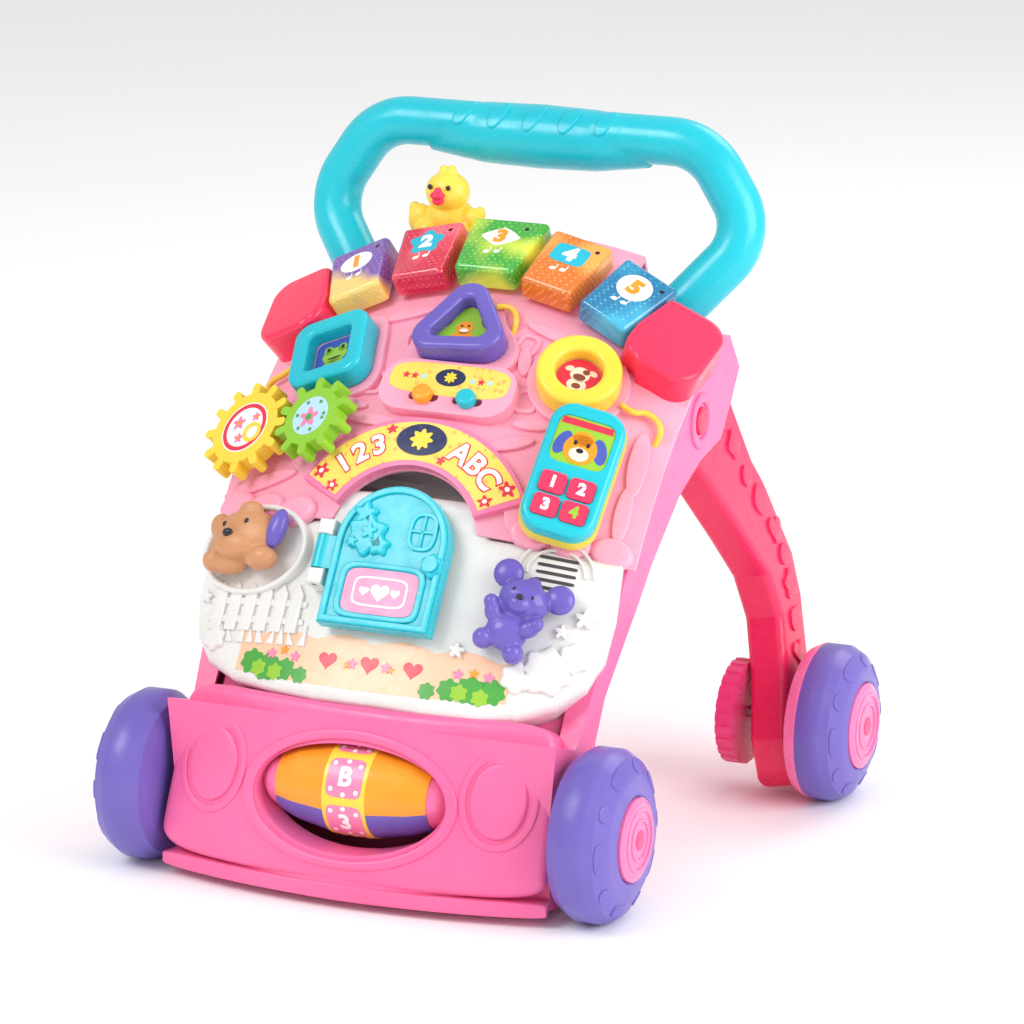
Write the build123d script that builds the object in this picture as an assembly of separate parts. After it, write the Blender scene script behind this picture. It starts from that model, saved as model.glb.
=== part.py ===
"""Push-along baby walker with a lift-off play panel. Millimetres, Z up, front towards -Y."""
from build123d import *
from math import asin, cos, degrees, pi, radians, sin, sqrt, tan
import os

# ---- driving dimensions -------------------------------------------------
FRONT_WHEEL_R = 56.0
FRONT_WHEEL_X = 159.7
REAR_WHEEL_R = 53.2
REAR_WHEEL_X = 203.2
REAR_AXLE_Y = 296.5
AXLE_R = 4.0
RUNNING_GAP = 0.05
WALL = 3.0
# pieces are laid out from the front axle; the part's origin is the middle of its footprint
ORIGIN_Y = (REAR_AXLE_Y + REAR_WHEEL_R - FRONT_WHEEL_R) / 2

# roof of the play panel: a torus-shaped surface about an axis along X
ROOF_Y, ROOF_Z = 396.4, -17.8
ROOF_R = 430.0
CROWN_R = 300.0
ROOF_START = 47.2
ROOF_HALF = 149.0

# lower wall of the play panel: a plane leaning back
LOWER_SLOPE = 57.0
LOWER_Y, LOWER_Z = -3.65, 148.8
LOWER_HALF = 150.0
LOWER_CROWN_R = 420.0
# a circle about the roof's axis that touches the lower wall, and where it touches
LOWER_R = (ROOF_Y - LOWER_Y) * sin(radians(LOWER_SLOPE)) - (ROOF_Z - LOWER_Z) * cos(radians(LOWER_SLOPE))
TOUCH_U = (ROOF_Y - LOWER_Y) * cos(radians(LOWER_SLOPE)) + (ROOF_Z - LOWER_Z) * sin(radians(LOWER_SLOPE))

ROLLER_Y, ROLLER_Z = -14.0, 70.0
ROLLER_R = 30.0

os.makedirs("parts", exist_ok=True)


# ---- helpers ------------------------------------------------------------
def save(name, *solids):
    """Write one sub-part, moved so that the origin is the middle of the footprint."""
    shape = solids[0] if len(solids) == 1 else Compound(children=list(solids))
    export_step(Pos(0, -ORIGIN_Y, 0) * shape, f"parts/{name}.step")


def yz_prism(points, half_width):
    """A side outline (y, z) made solid to both sides of the middle plane."""
    return extrude(Plane.YZ * make_face(Polyline(*points, close=True)), half_width, both=True)


def xz_prism(points, y_from, y_to):
    """A front outline (x, z) made solid from y_from to y_to."""
    face = Plane.XZ * make_face(Polyline(*points, close=True))
    return Pos(0, y_to, 0) * extrude(face, y_to - y_from)


def along_x(radius, x_from, x_to, y, z):
    """A round bar along X."""
    bar = Cylinder(radius, x_to - x_from, align=(Align.CENTER, Align.CENTER, Align.MIN))
    return Pos(x_from, y, z) * Rot(0, 90, 0) * bar


def turned(profile, y, z):
    """A closed outline of (x, radius) points turned about the X line through (y, z)."""
    face = Plane.XY * make_face(Polyline(*profile, close=True))
    return Pos(0, y, z) * revolve(face, Axis.X)


def mirrored(shape):
    return mirror(shape, about=Plane.YZ)


def crown_drop(x):
    return CROWN_R - sqrt(CROWN_R ** 2 - x ** 2)


def surface_plane(spot, uphill, normal, spin):
    """Plane with Z along the normal and Y uphill, turned by spin degrees about the normal."""
    across = uphill.cross(normal)
    turn = radians(spin)
    return Plane(spot, x_dir=across * cos(turn) + uphill * sin(turn), z_dir=normal)


def roof_plane(x, s, lift=0.0, spin=0.0):
    """Plane on the roof at x and at s millimetres up the slope, raised by lift along its normal."""
    angle = radians(ROOF_START) - s / ROOF_R
    tilt = asin(x / CROWN_R)
    reach = ROOF_R - crown_drop(x)
    normal = Vector(sin(tilt), -sin(angle) * cos(tilt), cos(angle) * cos(tilt))
    uphill = Vector(0, cos(angle), sin(angle))
    spot = Vector(x, ROOF_Y - reach * sin(angle), ROOF_Z + reach * cos(angle)) + normal * lift
    return surface_plane(spot, uphill, normal, spin)


def lower_plane(x, u, lift=0.0, spin=0.0):
    """Plane on the lower wall at x and u millimetres up the slope, raised by lift."""
    lean = radians(LOWER_SLOPE)
    tilt = asin(x / LOWER_CROWN_R)
    drop = LOWER_CROWN_R - sqrt(LOWER_CROWN_R ** 2 - x ** 2)
    square_on = Vector(0, -sin(lean), cos(lean))
    uphill = Vector(0, cos(lean), sin(lean))
    normal = Vector(sin(tilt), 0, 0) + square_on * cos(tilt)
    spot = Vector(x, LOWER_Y, LOWER_Z) + uphill * u - square_on * drop + normal * lift
    return surface_plane(spot, uphill, normal, spin)


def roof_slab(low, high, half, s_from, s_to):
    """Part of the roof's torus between two heights above its surface."""
    first = radians(ROOF_START) - s_to / ROOF_R
    sweep_angle = degrees((s_to - s_from) / ROOF_R)
    radial = Vector(0, -sin(first), cos(first))
    section_plane = Plane((0, ROOF_Y, ROOF_Z), x_dir=(1, 0, 0), z_dir=Vector(1, 0, 0).cross(radial))
    edge = ROOF_R - crown_drop(half)
    outline = (
        ThreePointArc((-half, edge + high), (0, ROOF_R + high), (half, edge + high))
        + Line((half, edge + high), (half, edge + low))
        + ThreePointArc((half, edge + low), (0, ROOF_R + low), (-half, edge + low))
        + Line((-half, edge + low), (-half, edge + high))
    )
    return revolve(section_plane * make_face(outline), Axis((0, ROOF_Y, ROOF_Z), (1, 0, 0)), sweep_angle)


def raised(plane, sketch, low, high):
    """A sketch on a plane made solid from low to high above it."""
    return plane.offset(low) * extrude(sketch, high - low)


# ---- wheels -------------------------------------------------------------
def wheel(mid_x, radius, hub_r, bore_r, y, z):
    rim = [(-20, bore_r), (-20, radius * 0.72), (-16, radius * 0.9), (-7, radius), (7, radius)]
    rim += [(15, radius * 0.92), (21, radius * 0.72), (23, hub_r + 2), (22, hub_r + 0.3)]
    rim += [(10, hub_r + 0.3), (10, bore_r)]
    return turned([(mid_x + dx, r) for dx, r in rim], y, z)


def hub_cap(mid_x, hub_r, reach, bore_r, y, z):
    cap = [(10, bore_r), (10, hub_r), (reach - 2, hub_r), (reach, hub_r - 4), (reach, 0)]
    cap += [(15, 0), (15, bore_r)]
    return turned([(mid_x + dx, r) for dx, r in cap], y, z)


FRONT_HUB_R = 27.0
REAR_HUB_R = 29.0
BORE_R = AXLE_R + RUNNING_GAP
front_wheel = wheel(FRONT_WHEEL_X, FRONT_WHEEL_R, FRONT_HUB_R, BORE_R, 0, FRONT_WHEEL_R)
front_hub = hub_cap(FRONT_WHEEL_X, FRONT_HUB_R, 26.3, BORE_R, 0, FRONT_WHEEL_R)
rear_wheel = wheel(REAR_WHEEL_X, REAR_WHEEL_R, REAR_HUB_R, BORE_R, REAR_AXLE_Y, REAR_WHEEL_R)
rear_hub = hub_cap(REAR_WHEEL_X, REAR_HUB_R, 25.6, BORE_R, REAR_AXLE_Y, REAR_WHEEL_R)
for side, place in (("right", lambda s: s), ("left", mirrored)):
    save(f"front_wheel_{side}", place(front_wheel))
    save(f"front_hub_{side}", place(front_hub))
    save(f"rear_wheel_{side}", place(rear_wheel))
    save(f"rear_hub_{side}", place(rear_hub))

FRONT_AXLE_X = 100.0
front_axle = along_x(AXLE_R, FRONT_AXLE_X, FRONT_WHEEL_X + 14.5, 0, FRONT_WHEEL_R)

DIAL_X = (132.0, 144.0)
rear_axle = along_x(AXLE_R, DIAL_X[0], REAR_WHEEL_X + 14.5, REAR_AXLE_Y, REAR_WHEEL_R)
rear_axle += along_x(8, DIAL_X[0] - 4, DIAL_X[0] - 0.3, REAR_AXLE_Y, REAR_WHEEL_R)
rear_axle += along_x(AXLE_R, DIAL_X[0] - 0.3, DIAL_X[0], REAR_AXLE_Y, REAR_WHEEL_R)
save("stub_axles", front_axle, mirrored(front_axle), rear_axle, mirrored(rear_axle))

# ---- speed dials --------------------------------------------------------
DIAL_R = 36.0
DIAL_RIBS = 24
dial = along_x(DIAL_R, *DIAL_X, REAR_AXLE_Y, REAR_WHEEL_R)
for i in range(DIAL_RIBS):
    turn = 2 * pi * i / DIAL_RIBS
    y = REAR_AXLE_Y + (DIAL_R + 1) * cos(turn)
    z = REAR_WHEEL_R + (DIAL_R + 1) * sin(turn)
    dial -= along_x(2.2, DIAL_X[0] - 1, DIAL_X[1] + 1, y, z)
dial -= along_x(BORE_R, DIAL_X[0] - 1, DIAL_X[1] + 1, REAR_AXLE_Y, REAR_WHEEL_R)
save("speed_dial_right", dial)
save("speed_dial_left", mirrored(dial))

# ---- rear legs: two half shells each, leaning out towards the wheel ------
LEG_TOP = Vector(122, 0, 281)
LEG_FOOT = Vector(166, 0, 53)
LEG_HALF = 14.0
leg_up = (LEG_TOP - LEG_FOOT).normalized()
LEG_PLANE = Plane(LEG_TOP, x_dir=(0, 1, 0), z_dir=Vector(0, 1, 0).cross(leg_up))
LEG_OUTLINE = [
    (182, 266), (184, 294), (240, 312), (262, 296), (272, 266), (288, 229), (318, 190), (335, 157),
    (338, 126), (332, 90), (330, 60), (329, 22), (318, 8), (280, 8), (268, 22), (268, 45), (286, 84),
    (294, 121), (285, 151), (256, 185), (220, 224),
]
LOCK_Y, LOCK_Z = 195.0, 280.0
LOCK_R = 9.0
LOCK_GAP = 0.4


def leg_slab(half, grow=0.0):
    points = [(y, (z - LEG_TOP.Z) / leg_up.Z) for y, z in LEG_OUTLINE]
    face = make_face(Polyline(*points, close=True))
    if grow:
        face = offset(face, grow, kind=Kind.INTERSECTION)
    return extrude(LEG_PLANE * face, half, both=True)


leg = leg_slab(LEG_HALF)
leg = fillet(leg.edges().filter_by(lambda e: abs(e.center().Y - 300) < 60 and e.center().Z < 200
                                   and e.length > 20), 6)
leg_outer = split(leg, LEG_PLANE, keep=Keep.TOP)
leg_inner = split(leg, LEG_PLANE, keep=Keep.BOTTOM)
if leg_outer.center().X < leg_inner.center().X:
    leg_outer, leg_inner = leg_inner, leg_outer
leg_core = extrude(LEG_PLANE * offset(make_face(Polyline(
    *[(y, (z - LEG_TOP.Z) / leg_up.Z) for y, z in LEG_OUTLINE], close=True)), -WALL), LEG_HALF - WALL, both=True)
axle_boss = along_x(AXLE_R + 4, 100, 190, REAR_AXLE_Y, REAR_WHEEL_R)
axle_hole = along_x(AXLE_R, 90, 200, REAR_AXLE_Y, REAR_WHEEL_R)
LOCK_REST = 148.5
LOCK_FLOOR = 114.0
LOCK_TRAVEL = 6.0
lock_hole = along_x(LOCK_R + LOCK_GAP, LOCK_FLOOR, 160, LOCK_Y, LOCK_Z)
leg_core -= axle_boss
leg_core -= along_x(LOCK_R + 3, 100, 160, LOCK_Y, LOCK_Z)
wheel_side = Pos(REAR_WHEEL_X - 20.6 + 50, REAR_AXLE_Y, 60) * Box(100, 200, 200)
leg_outer = leg_outer - leg_core - axle_hole - lock_hole - wheel_side
leg_inner = leg_inner - leg_core - axle_hole - lock_hole
save("leg_outer_shells", leg_outer, mirrored(leg_outer))
save("leg_inner_shells", leg_inner, mirrored(leg_inner))

# ---- leg locks ----------------------------------------------------------
PIN_BACK = 129.0
lock_pin = along_x(LOCK_R, PIN_BACK, LOCK_REST, LOCK_Y, LOCK_Z)
lock_pin = fillet(lock_pin.edges().filter_by(lambda e: e.center().X > LOCK_REST - 1), 1.5)
save("leg_lock_button_right", lock_pin)
save("leg_lock_button_left", mirrored(lock_pin))
SPRING_WIRE = 1.0
SPRING_TURNS = 5
SPRING_LENGTH = PIN_BACK - LOCK_FLOOR - 2 * SPRING_WIRE
spring_path = Helix(pitch=SPRING_LENGTH / SPRING_TURNS, height=SPRING_LENGTH, radius=5)
coil = sweep(Plane(spring_path @ 0, z_dir=spring_path % 0) * Circle(SPRING_WIRE / 2), path=spring_path)
lock_spring = Pos(LOCK_FLOOR + SPRING_WIRE, LOCK_Y, LOCK_Z) * Rot(0, 90, 0) * coil
save("lock_spring_right", lock_spring)
save("lock_spring_left", mirrored(lock_spring))

# ---- chassis ------------------------------------------------------------
# side outline: front lip, up the deck that carries the panel, over the top and down the back
DECK_DEPTH = 38.0
DECK_R = LOWER_R - DECK_DEPTH
BASE_BOTTOM = 6.0
TRAY_TOP = 16.0
BASE_TOP = 126.0
FRONT_EDGE = -27.0


def roof_point(angle, radius):
    return (ROOF_Y - radius * sin(radians(angle)), ROOF_Z + radius * cos(radians(angle)))


def lower_point(u, lift):
    spot = lower_plane(0, u, lift).origin
    return (spot.Y, spot.Z)


def deck_outline(height=0.0, deck_end=26.0, start=FRONT_EDGE):
    """The deck line, raised by height: straight along the lower wall, then an arc under the roof."""
    radius = DECK_R + height
    straight = Line(lower_point(start, height - DECK_DEPTH), lower_point(TOUCH_U, height - DECK_DEPTH))
    return straight + ThreePointArc(straight @ 1, roof_point(40, radius), roof_point(deck_end, radius))


def chassis_side():
    top = roof_point(26, DECK_R)
    back = [top, (246, 327), (264, 302), (250, 282), (232, 260), (198, 253), (163, 237), (121, 201),
            (77, 152), (56, 128), (46, 101), (52, 60), (52, 16), (-20, 16), (-20, 116),
            lower_point(FRONT_EDGE, -DECK_DEPTH)]
    return make_face(deck_outline() + Polyline(*back))


# front outline: narrow between the wheels, wider above them
FRONT_OUTLINE = [(133, 0), (133, 70), (137, 116), (142, 180), (146, 260), (146, 340)]


def base_outline(z, half, front_y, back_y, corner):
    """Plan of the base: bowed front, straight sides and back, rounded front corners."""
    bow = 34 * half / 133
    outline = (
        ThreePointArc((-half, front_y + bow), (0, front_y), (half, front_y + bow))
        + Polyline((half, front_y + bow), (half, back_y), (-half, back_y), (-half, front_y + bow))
    )
    face = make_face(outline)
    front_corners = face.vertices().sort_by(Axis.Y)[:2]
    return Pos(0, 0, z) * fillet(front_corners, corner)


def base_solid(shrink=0.0):
    low = base_outline(BASE_BOTTOM, 133 - shrink, -51 + shrink, 50 - shrink, 22)
    mid = base_outline(32, 133 - shrink, -53 + shrink, 50 - shrink, 22)
    top = base_outline(BASE_TOP, 126 - shrink, -18 + shrink, 56 - shrink, 18)
    return loft([low, mid], ruled=True) + loft([mid, top], ruled=True)


def body_solid(shrink=0.0):
    side = Plane.YZ * chassis_side()
    if shrink:
        side = offset(side, -shrink, kind=Kind.INTERSECTION)
    right = [(x - shrink, z) for x, z in FRONT_OUTLINE]
    left = [(-x, z) for x, z in reversed(right)]
    return extrude(side, 160, both=True) & xz_prism(right + left, -100, 400)


def panel_bay():
    """Everything in front of the deck and above the panel's lower edge."""
    far = [roof_point(20, DECK_R), roof_point(20, 560), (-120, 200), lower_point(FRONT_EDGE, 60),
           lower_point(FRONT_EDGE, -DECK_DEPTH)]
    return extrude(Plane.YZ * make_face(deck_outline(0, 20) + Polyline(*far)), 200, both=True)


outer_body = base_solid() + body_solid()
inner_body = base_solid(WALL) + body_solid(WALL)
shell = outer_body - inner_body - panel_bay()
tray_zone = Pos(0, 0, TRAY_TOP - 50) * Box(400, 300, 100)
base_tray = base_solid() & tray_zone
base_tray -= Pos(0, 0, WALL) * (base_solid(WALL) & Pos(0, 0, TRAY_TOP) * Box(400, 300, 100))
shell -= tray_zone

# roller window in the front of the base, with the cradle walls that carry the roller axle
window = Pos(0, -30, ROLLER_Z) * Rot(90, 0, 0) * extrude(Ellipse(66, 33), 40, both=True)
window = split(window, Plane((0, -5, 0), z_dir=(0, -1, 0)), keep=Keep.TOP)
shell -= window
ROLLER_AXLE_X = 80.0
cradle_wall = Pos(ROLLER_AXLE_X - 5, 4, 68) * Box(4, 80, 100)
cradle = cradle_wall + mirrored(cradle_wall)
cradle &= base_solid(WALL) + body_solid(WALL)
cradle = cradle - tray_zone - panel_bay()
axle_towers = Pos(FRONT_AXLE_X + 14, 0, 55) * Box(28, 24, 78)
axle_towers = (axle_towers + mirrored(axle_towers)) & (base_solid(WALL) - tray_zone)

back_zone = yz_prism([(10, 0), (10, 60), (18, 100), (50, 158), (98, 212), (146, 252), (190, 280),
                      (262, 338), (330, 338), (330, 0)], 200)
front_shell = shell - back_zone + (cradle + axle_towers - back_zone)
back_shell = shell & back_zone
for x_sign in (1, -1):
    hole = along_x(AXLE_R, FRONT_AXLE_X - 1, 200, 0, FRONT_WHEEL_R)
    lock = along_x(LOCK_R + LOCK_GAP, 130, 160, LOCK_Y, LOCK_Z)
    leg_opening = leg_slab(LEG_HALF + 0.4, 0.4)
    if x_sign < 0:
        hole, lock, leg_opening = mirrored(hole), mirrored(lock), mirrored(leg_opening)
    front_shell = front_shell - hole - lock - leg_opening
    back_shell = back_shell - hole - lock - leg_opening
roller_hole = along_x(AXLE_R, -ROLLER_AXLE_X, ROLLER_AXLE_X, ROLLER_Y, ROLLER_Z)
front_shell -= roller_hole
back_shell -= roller_hole

# ---- handle -------------------------------------------------------------
TUBE_R = 16.3
GRIP_R = 21.5
HANDLE_ROUTE = [(105, 225, 318), (106, 228, 334), (156, 262, 392), (118, 268, 449), (0, 275, 450)]
right_side = [Vector(*p) for p in HANDLE_ROUTE]
left_side = [Vector(-p.X, p.Y, p.Z) for p in reversed(right_side[:-1])]
handle_line = FilletPolyline(*right_side[:-1], *left_side, radius=[40, 36, 42, 42, 36, 40])
handle = sweep(Plane(handle_line @ 0, z_dir=handle_line % 0) * Circle(TUBE_R), path=handle_line)
grip_profile = [(-78, 0), (-78, TUBE_R - 1), (-40, GRIP_R - 1), (0, GRIP_R), (40, GRIP_R - 1)]
grip_profile += [(78, TUBE_R - 1), (78, 0)]
handle += turned(grip_profile, 270, 444.8)
HANDLE_CUT = 0.3
handle_hole = sweep(Plane(handle_line @ 0, z_dir=handle_line % 0) * Circle(TUBE_R + HANDLE_CUT),
                    path=handle_line)
front_shell -= handle_hole
back_shell -= handle_hole
save("chassis_front", front_shell)
save("chassis_back", back_shell)
save("base_tray", base_tray)
save("handle", handle)

# ---- roller -------------------------------------------------------------
barrel_profile = [(-53, BORE_R), (-53, 20), (-40, 25), (-14, ROLLER_R), (14, ROLLER_R), (40, 25)]
barrel_profile += [(53, 20), (53, BORE_R)]
barrel = turned(barrel_profile, ROLLER_Y, ROLLER_Z)
core = turned([(-50, BORE_R + 3), (-50, 17), (-40, 22), (-14, ROLLER_R - 3), (14, ROLLER_R - 3),
               (40, 22), (50, 17), (50, BORE_R + 3)], ROLLER_Y, ROLLER_Z)
barrel -= core
parting = Plane((0, ROLLER_Y, ROLLER_Z), z_dir=(0, -0.25, 0.97))
save("roller_upper", split(barrel, parting, keep=Keep.TOP))
save("roller_lower", split(barrel, parting, keep=Keep.BOTTOM))
cone = turned([(53, BORE_R), (53, 19), (60, 16), (66, 10), (68, BORE_R + 1), (68, BORE_R)],
              ROLLER_Y, ROLLER_Z)
save("roller_ends", cone, mirrored(cone))
save("roller_axle", along_x(AXLE_R, -ROLLER_AXLE_X, ROLLER_AXLE_X, ROLLER_Y, ROLLER_Z))

# ---- play panel: shells -------------------------------------------------
ROOF_EAVE = -56.0
ROOF_REAR = 138.0
RIDGE_HALF = 84.0
RIDGE_REAR = 200.0
LOWER_TOP = 104.0
SKIRT_GAP = 0.4
under_deck = along_x(DECK_R + SKIRT_GAP, -200, 200, ROOF_Y, ROOF_Z)


def crowned_block(low, high, half, u_from, u_to, corner=0.0):
    """Part of the lower wall between a flat back and the crowned front."""
    start = lower_plane(0, u_from).origin
    lean = radians(LOWER_SLOPE)
    uphill = Vector(0, cos(lean), sin(lean))
    drop = LOWER_CROWN_R - sqrt(LOWER_CROWN_R ** 2 - half ** 2)
    outline = (
        ThreePointArc((-half, high - drop), (0, high), (half, high - drop))
        + Polyline((half, high - drop), (half, low), (-half, low), (-half, high - drop))
    )
    block = extrude(Plane(start, x_dir=(1, 0, 0), z_dir=-uphill) * make_face(outline), u_from - u_to)
    if corner:
        lower_edges = block.edges().filter_by(lambda e: abs(abs(e.center().X) - half) < 1)
        block = fillet(lower_edges.sort_by(Axis.Z)[:2], corner)
    return block


white = crowned_block(SKIRT_GAP - DECK_DEPTH, 0, LOWER_HALF, FRONT_EDGE, LOWER_TOP, 26)
white -= crowned_block(-60, -WALL, LOWER_HALF - WALL, FRONT_EDGE + WALL, LOWER_TOP + 5, 23)
white -= roof_slab(-WALL - 0.3, 60, 160, ROOF_EAVE - 6, 20)
white -= under_deck

DOOR_ARCH_S = -72.0
ARCH_MID_R = 72.0
ARCH_WIDTH = 35.0
roof = roof_slab(-WALL, 0, ROOF_HALF, ROOF_EAVE, ROOF_REAR)
roof += roof_slab(-WALL, 0, RIDGE_HALF, ROOF_REAR - 1, RIDGE_REAR)
roof += roof_slab(-40, 0, RIDGE_HALF, RIDGE_REAR - WALL, RIDGE_REAR)
roof += roof_slab(-40, 0, ROOF_HALF, ROOF_REAR - WALL, ROOF_REAR) - roof_slab(-60, 5, RIDGE_HALF - 2, 100, 190)
roof -= under_deck
roof -= raised(roof_plane(0, DOOR_ARCH_S), Circle(ARCH_MID_R - ARCH_WIDTH / 2 - 1), -12, 20)

# ---- shape blocks on their raised studs -----------------------------------
BLOCK_H = 16.0
STUD_H = 8.0
STUD_GAP = 0.5
SQUARE = roof_plane(-86, 65, 0, 14)
TRIANGLE = roof_plane(1, 87, 0, 5)
RING = roof_plane(84, 67)


def triangle_face(reach, corner):
    corners = [(reach * cos(radians(a)), reach * sin(radians(a))) for a in (90, 210, 330)]
    face = make_face(Polyline(*corners, close=True))
    return fillet(face.vertices(), corner)


blocks = {
    "square": (SQUARE, RectangleRounded(57, 57, 13), RectangleRounded(33, 33, 5), RectangleRounded(32, 32, 4.5)),
    "triangle": (TRIANGLE, triangle_face(48, 14), triangle_face(26, 5), triangle_face(25, 4.5)),
    "ring": (RING, Circle(28), Circle(15.5), Circle(15)),
}
for name, (plane, outer, hole, stud) in blocks.items():
    roof += raised(plane, stud, -WALL - 1, STUD_H)
    block = raised(plane, outer - hole, 3, 3 + BLOCK_H)
    rims = block.edges().filter_by(lambda e, p=plane: p.to_local_coords(e.center()).Z > BLOCK_H)
    save(f"block_{name}", fillet(rims, 3.5))

# ---- tether cords of the blocks ----------------------------------------------
CORD_D = 4.2
TETHERS = {
    "ring": [(113.2, 58.5, 6), (121, 54.5, 5), (128, 60, 5), (137, 56.5, 5), (141, 47, 5), (139.5, 40, -1.5)],
    "square": [(-115.2, 60, 6), (-122, 65, 5), (-129, 59, 5), (-137, 57, 5), (-139.5, 47, 5),
               (-136.5, 40, -1.5)],
    "triangle": [(13.8, 112.2, 6), (20, 115, 5), (27, 111, 5), (31, 102.5, 5), (29.5, 95, -1.5)],
}


def cord(points):
    """A tube whose corners are as round as its runs allow."""
    spots = [roof_plane(*p).origin for p in points]
    radii = []
    for before, here, after in zip(spots, spots[1:], spots[2:]):
        turn = radians((here - before).get_angle(after - here))
        radii.append(0.45 * min((here - before).length, (after - here).length) / tan(turn / 2))
    line = FilletPolyline(*spots, radius=radii)
    print("cord length", round(line.length, 1), "radii", [round(r, 1) for r in radii])
    return sweep(Plane(line @ 0, z_dir=line % 0) * Circle(CORD_D / 2), path=line)


for name, points in TETHERS.items():
    save(f"tether_{name}", cord(points))

# ---- gears: one plane for both, so that they mesh ---------------------------
GEAR_PLANE = roof_plane(-98, 5.5, 0, 4)
GEAR_MODULE = 5.145
LARGE_TEETH, SMALL_TEETH = 12, 10
GEAR_LOW, GEAR_HIGH = 8.5, 20.0
POST_R = 4.0
gear_gap = GEAR_MODULE * (LARGE_TEETH + SMALL_TEETH) / 2
large_x = -gear_gap * LARGE_TEETH / (LARGE_TEETH + SMALL_TEETH)
GEARS = {"gear_large": (large_x, LARGE_TEETH), "gear_small": (large_x + gear_gap, SMALL_TEETH)}
for name, (local_x, teeth) in GEARS.items():
    pitch_r = GEAR_MODULE * teeth / 2
    gear = Circle(pitch_r - 4.2)
    first = 0.5 if name == "gear_small" else 0.0
    for i in range(teeth):
        turn = 360 * (i + first) / teeth
        tooth = Pos(pitch_r - 1.2, 0) * RectangleRounded(9.6, 6.2, 2.9)
        gear += Rot(0, 0, turn + (180 if first else 0)) * tooth
    at_post = Pos(local_x, 0, 0)
    body = GEAR_PLANE * at_post * (Pos(0, 0, GEAR_LOW) * extrude(gear, GEAR_HIGH - GEAR_LOW)
                                   - Pos(0, 0, GEAR_LOW - 1) * Cylinder(
                                       POST_R + RUNNING_GAP, 9, align=(Align.CENTER, Align.CENTER, Align.MIN)))
    save(name, body)
    post = extrude(Circle(POST_R), 20) + extrude(Circle(12), 10.5)
    roof += GEAR_PLANE * at_post * Pos(0, 0, -3.5) * post

# ---- sliders ----------------------------------------------------------------
SLIDER = roof_plane(5, 41)
KNOB_X = (-14.0, 17.0)
KNOB_S = -9.0
KNOB_TRAVEL = 7.0
STEM_R = 3.0
HOUSING_H = 7.0
slots = Sketch() + [Pos(x, KNOB_S) * SlotOverall(2 * (KNOB_TRAVEL + STEM_R) + 1, 2 * STEM_R + 0.6) for x in KNOB_X]
housing = raised(SLIDER, RectangleRounded(94, 40, 17), -3, HOUSING_H)
roof += housing
roof -= raised(SLIDER, slots, 1.5, HOUSING_H + 1)
for name, x in zip(("slider_knob_left", "slider_knob_right"), KNOB_X):
    knob = raised(SLIDER, Pos(x, KNOB_S) * Circle(STEM_R), 2, HOUSING_H + 1)
    knob += raised(SLIDER, Pos(x, KNOB_S) * Circle(6.5), HOUSING_H + 0.4, HOUSING_H + 7)
    save(name, fillet(knob.edges().filter_by(lambda e: SLIDER.to_local_coords(e.center()).Z > HOUSING_H + 6), 2.5))

# ---- arched plaque -------------------------------------------------------------
ARCH_PLANE = roof_plane(0, -10)
ARCH_SWEEP = 62.0
arch_centre = DOOR_ARCH_S + 10
arch_line = CenterArc((0, arch_centre), ARCH_MID_R, 90 - ARCH_SWEEP, 2 * ARCH_SWEEP)
arch_band = raised(ARCH_PLANE, trace(arch_line, ARCH_WIDTH), -30, 30)
plaque = arch_band & roof_slab(0, 6, ROOF_HALF, -100, 60)
save("arch_plaque", plaque)

# ---- piano keys --------------------------------------------------------------------
KEY_TRAVEL = 3.0
KEY_LOW, KEY_HIGH = 4.5, 21.0
KEY_LENGTH = 54.0
KEY_STEM_R = 7.0
KEYS = [(-92, 136, 19, 44, 38), (-47.5, 149, 9, 44, 37), (0, 156, 0, 56, 42), (47.5, 149, -9, 44, 37),
        (92, 136, -19, 44, 38)]
key_bays = []
for number, (x, s, spin, top_width, foot_width) in enumerate(KEYS, 1):
    plane = roof_plane(x, s, 0, spin)
    half = KEY_LENGTH / 2
    face = make_face(Polyline((-foot_width / 2, -half), (foot_width / 2, -half), (top_width / 2, half),
                              (-top_width / 2, half), close=True))
    key = raised(plane, fillet(face.vertices(), 3), KEY_LOW, KEY_HIGH)
    rims = key.edges().filter_by(lambda e, p=plane: p.to_local_coords(e.center()).Z > KEY_HIGH - 1)
    key = fillet(rims, 4) + raised(plane, Circle(KEY_STEM_R), -10, KEY_LOW + 1)
    roof -= raised(plane, Circle(KEY_STEM_R + 0.5), -20, 2)
    save(f"piano_key_{number}", key)
    key_bays.append(raised(plane, offset(fillet(face.vertices(), 3), 0.8), -30, 45))

# ---- end caps beside the keys ----------------------------------------------------------
cap_plane = roof_plane(128, 113, 0, -9)
cap = raised(cap_plane, RectangleRounded(54, 60, 16), -18, 22)
cap -= roof_slab(-60, 0.02, ROOF_HALF + 0.4, 0, 190)
cap -= yz_prism([(225, 200), (225, 500), (400, 500), (400, 200)], 300)
cap = cap - key_bays[4] - raised(RING, Circle(29), -20, 40)
cap -= mirrored(raised(SQUARE, RectangleRounded(59, 59, 14), -20, 40))
cap = cap.solids().sort_by(lambda s: s.volume)[-1]
cap_rims = cap.edges().filter_by(lambda e: cap_plane.to_local_coords(e.center()).Z > 21)
cap = fillet(cap_rims, 4)
save("end_caps", cap, mirrored(cap))

# ---- chick ----------------------------------------------------------------------------------
chick = Pos(-54, 238, 391) * Sphere(17) + Pos(-54, 236, 411) * Sphere(12.5)
for side in (-1, 1):
    chick += Pos(-54 + side * 20, 236, 394) * Rot(0, side * 20, 0) * Cylinder(7, 22)
    chick += Pos(-54 + side * 20, 236, 394) * Rot(0, side * 20, 0) * Pos(0, 0, 11) * Sphere(7)
chick -= roof_slab(-70, 0.02, RIDGE_HALF, 100, 290)
save("chick", chick)

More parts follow.
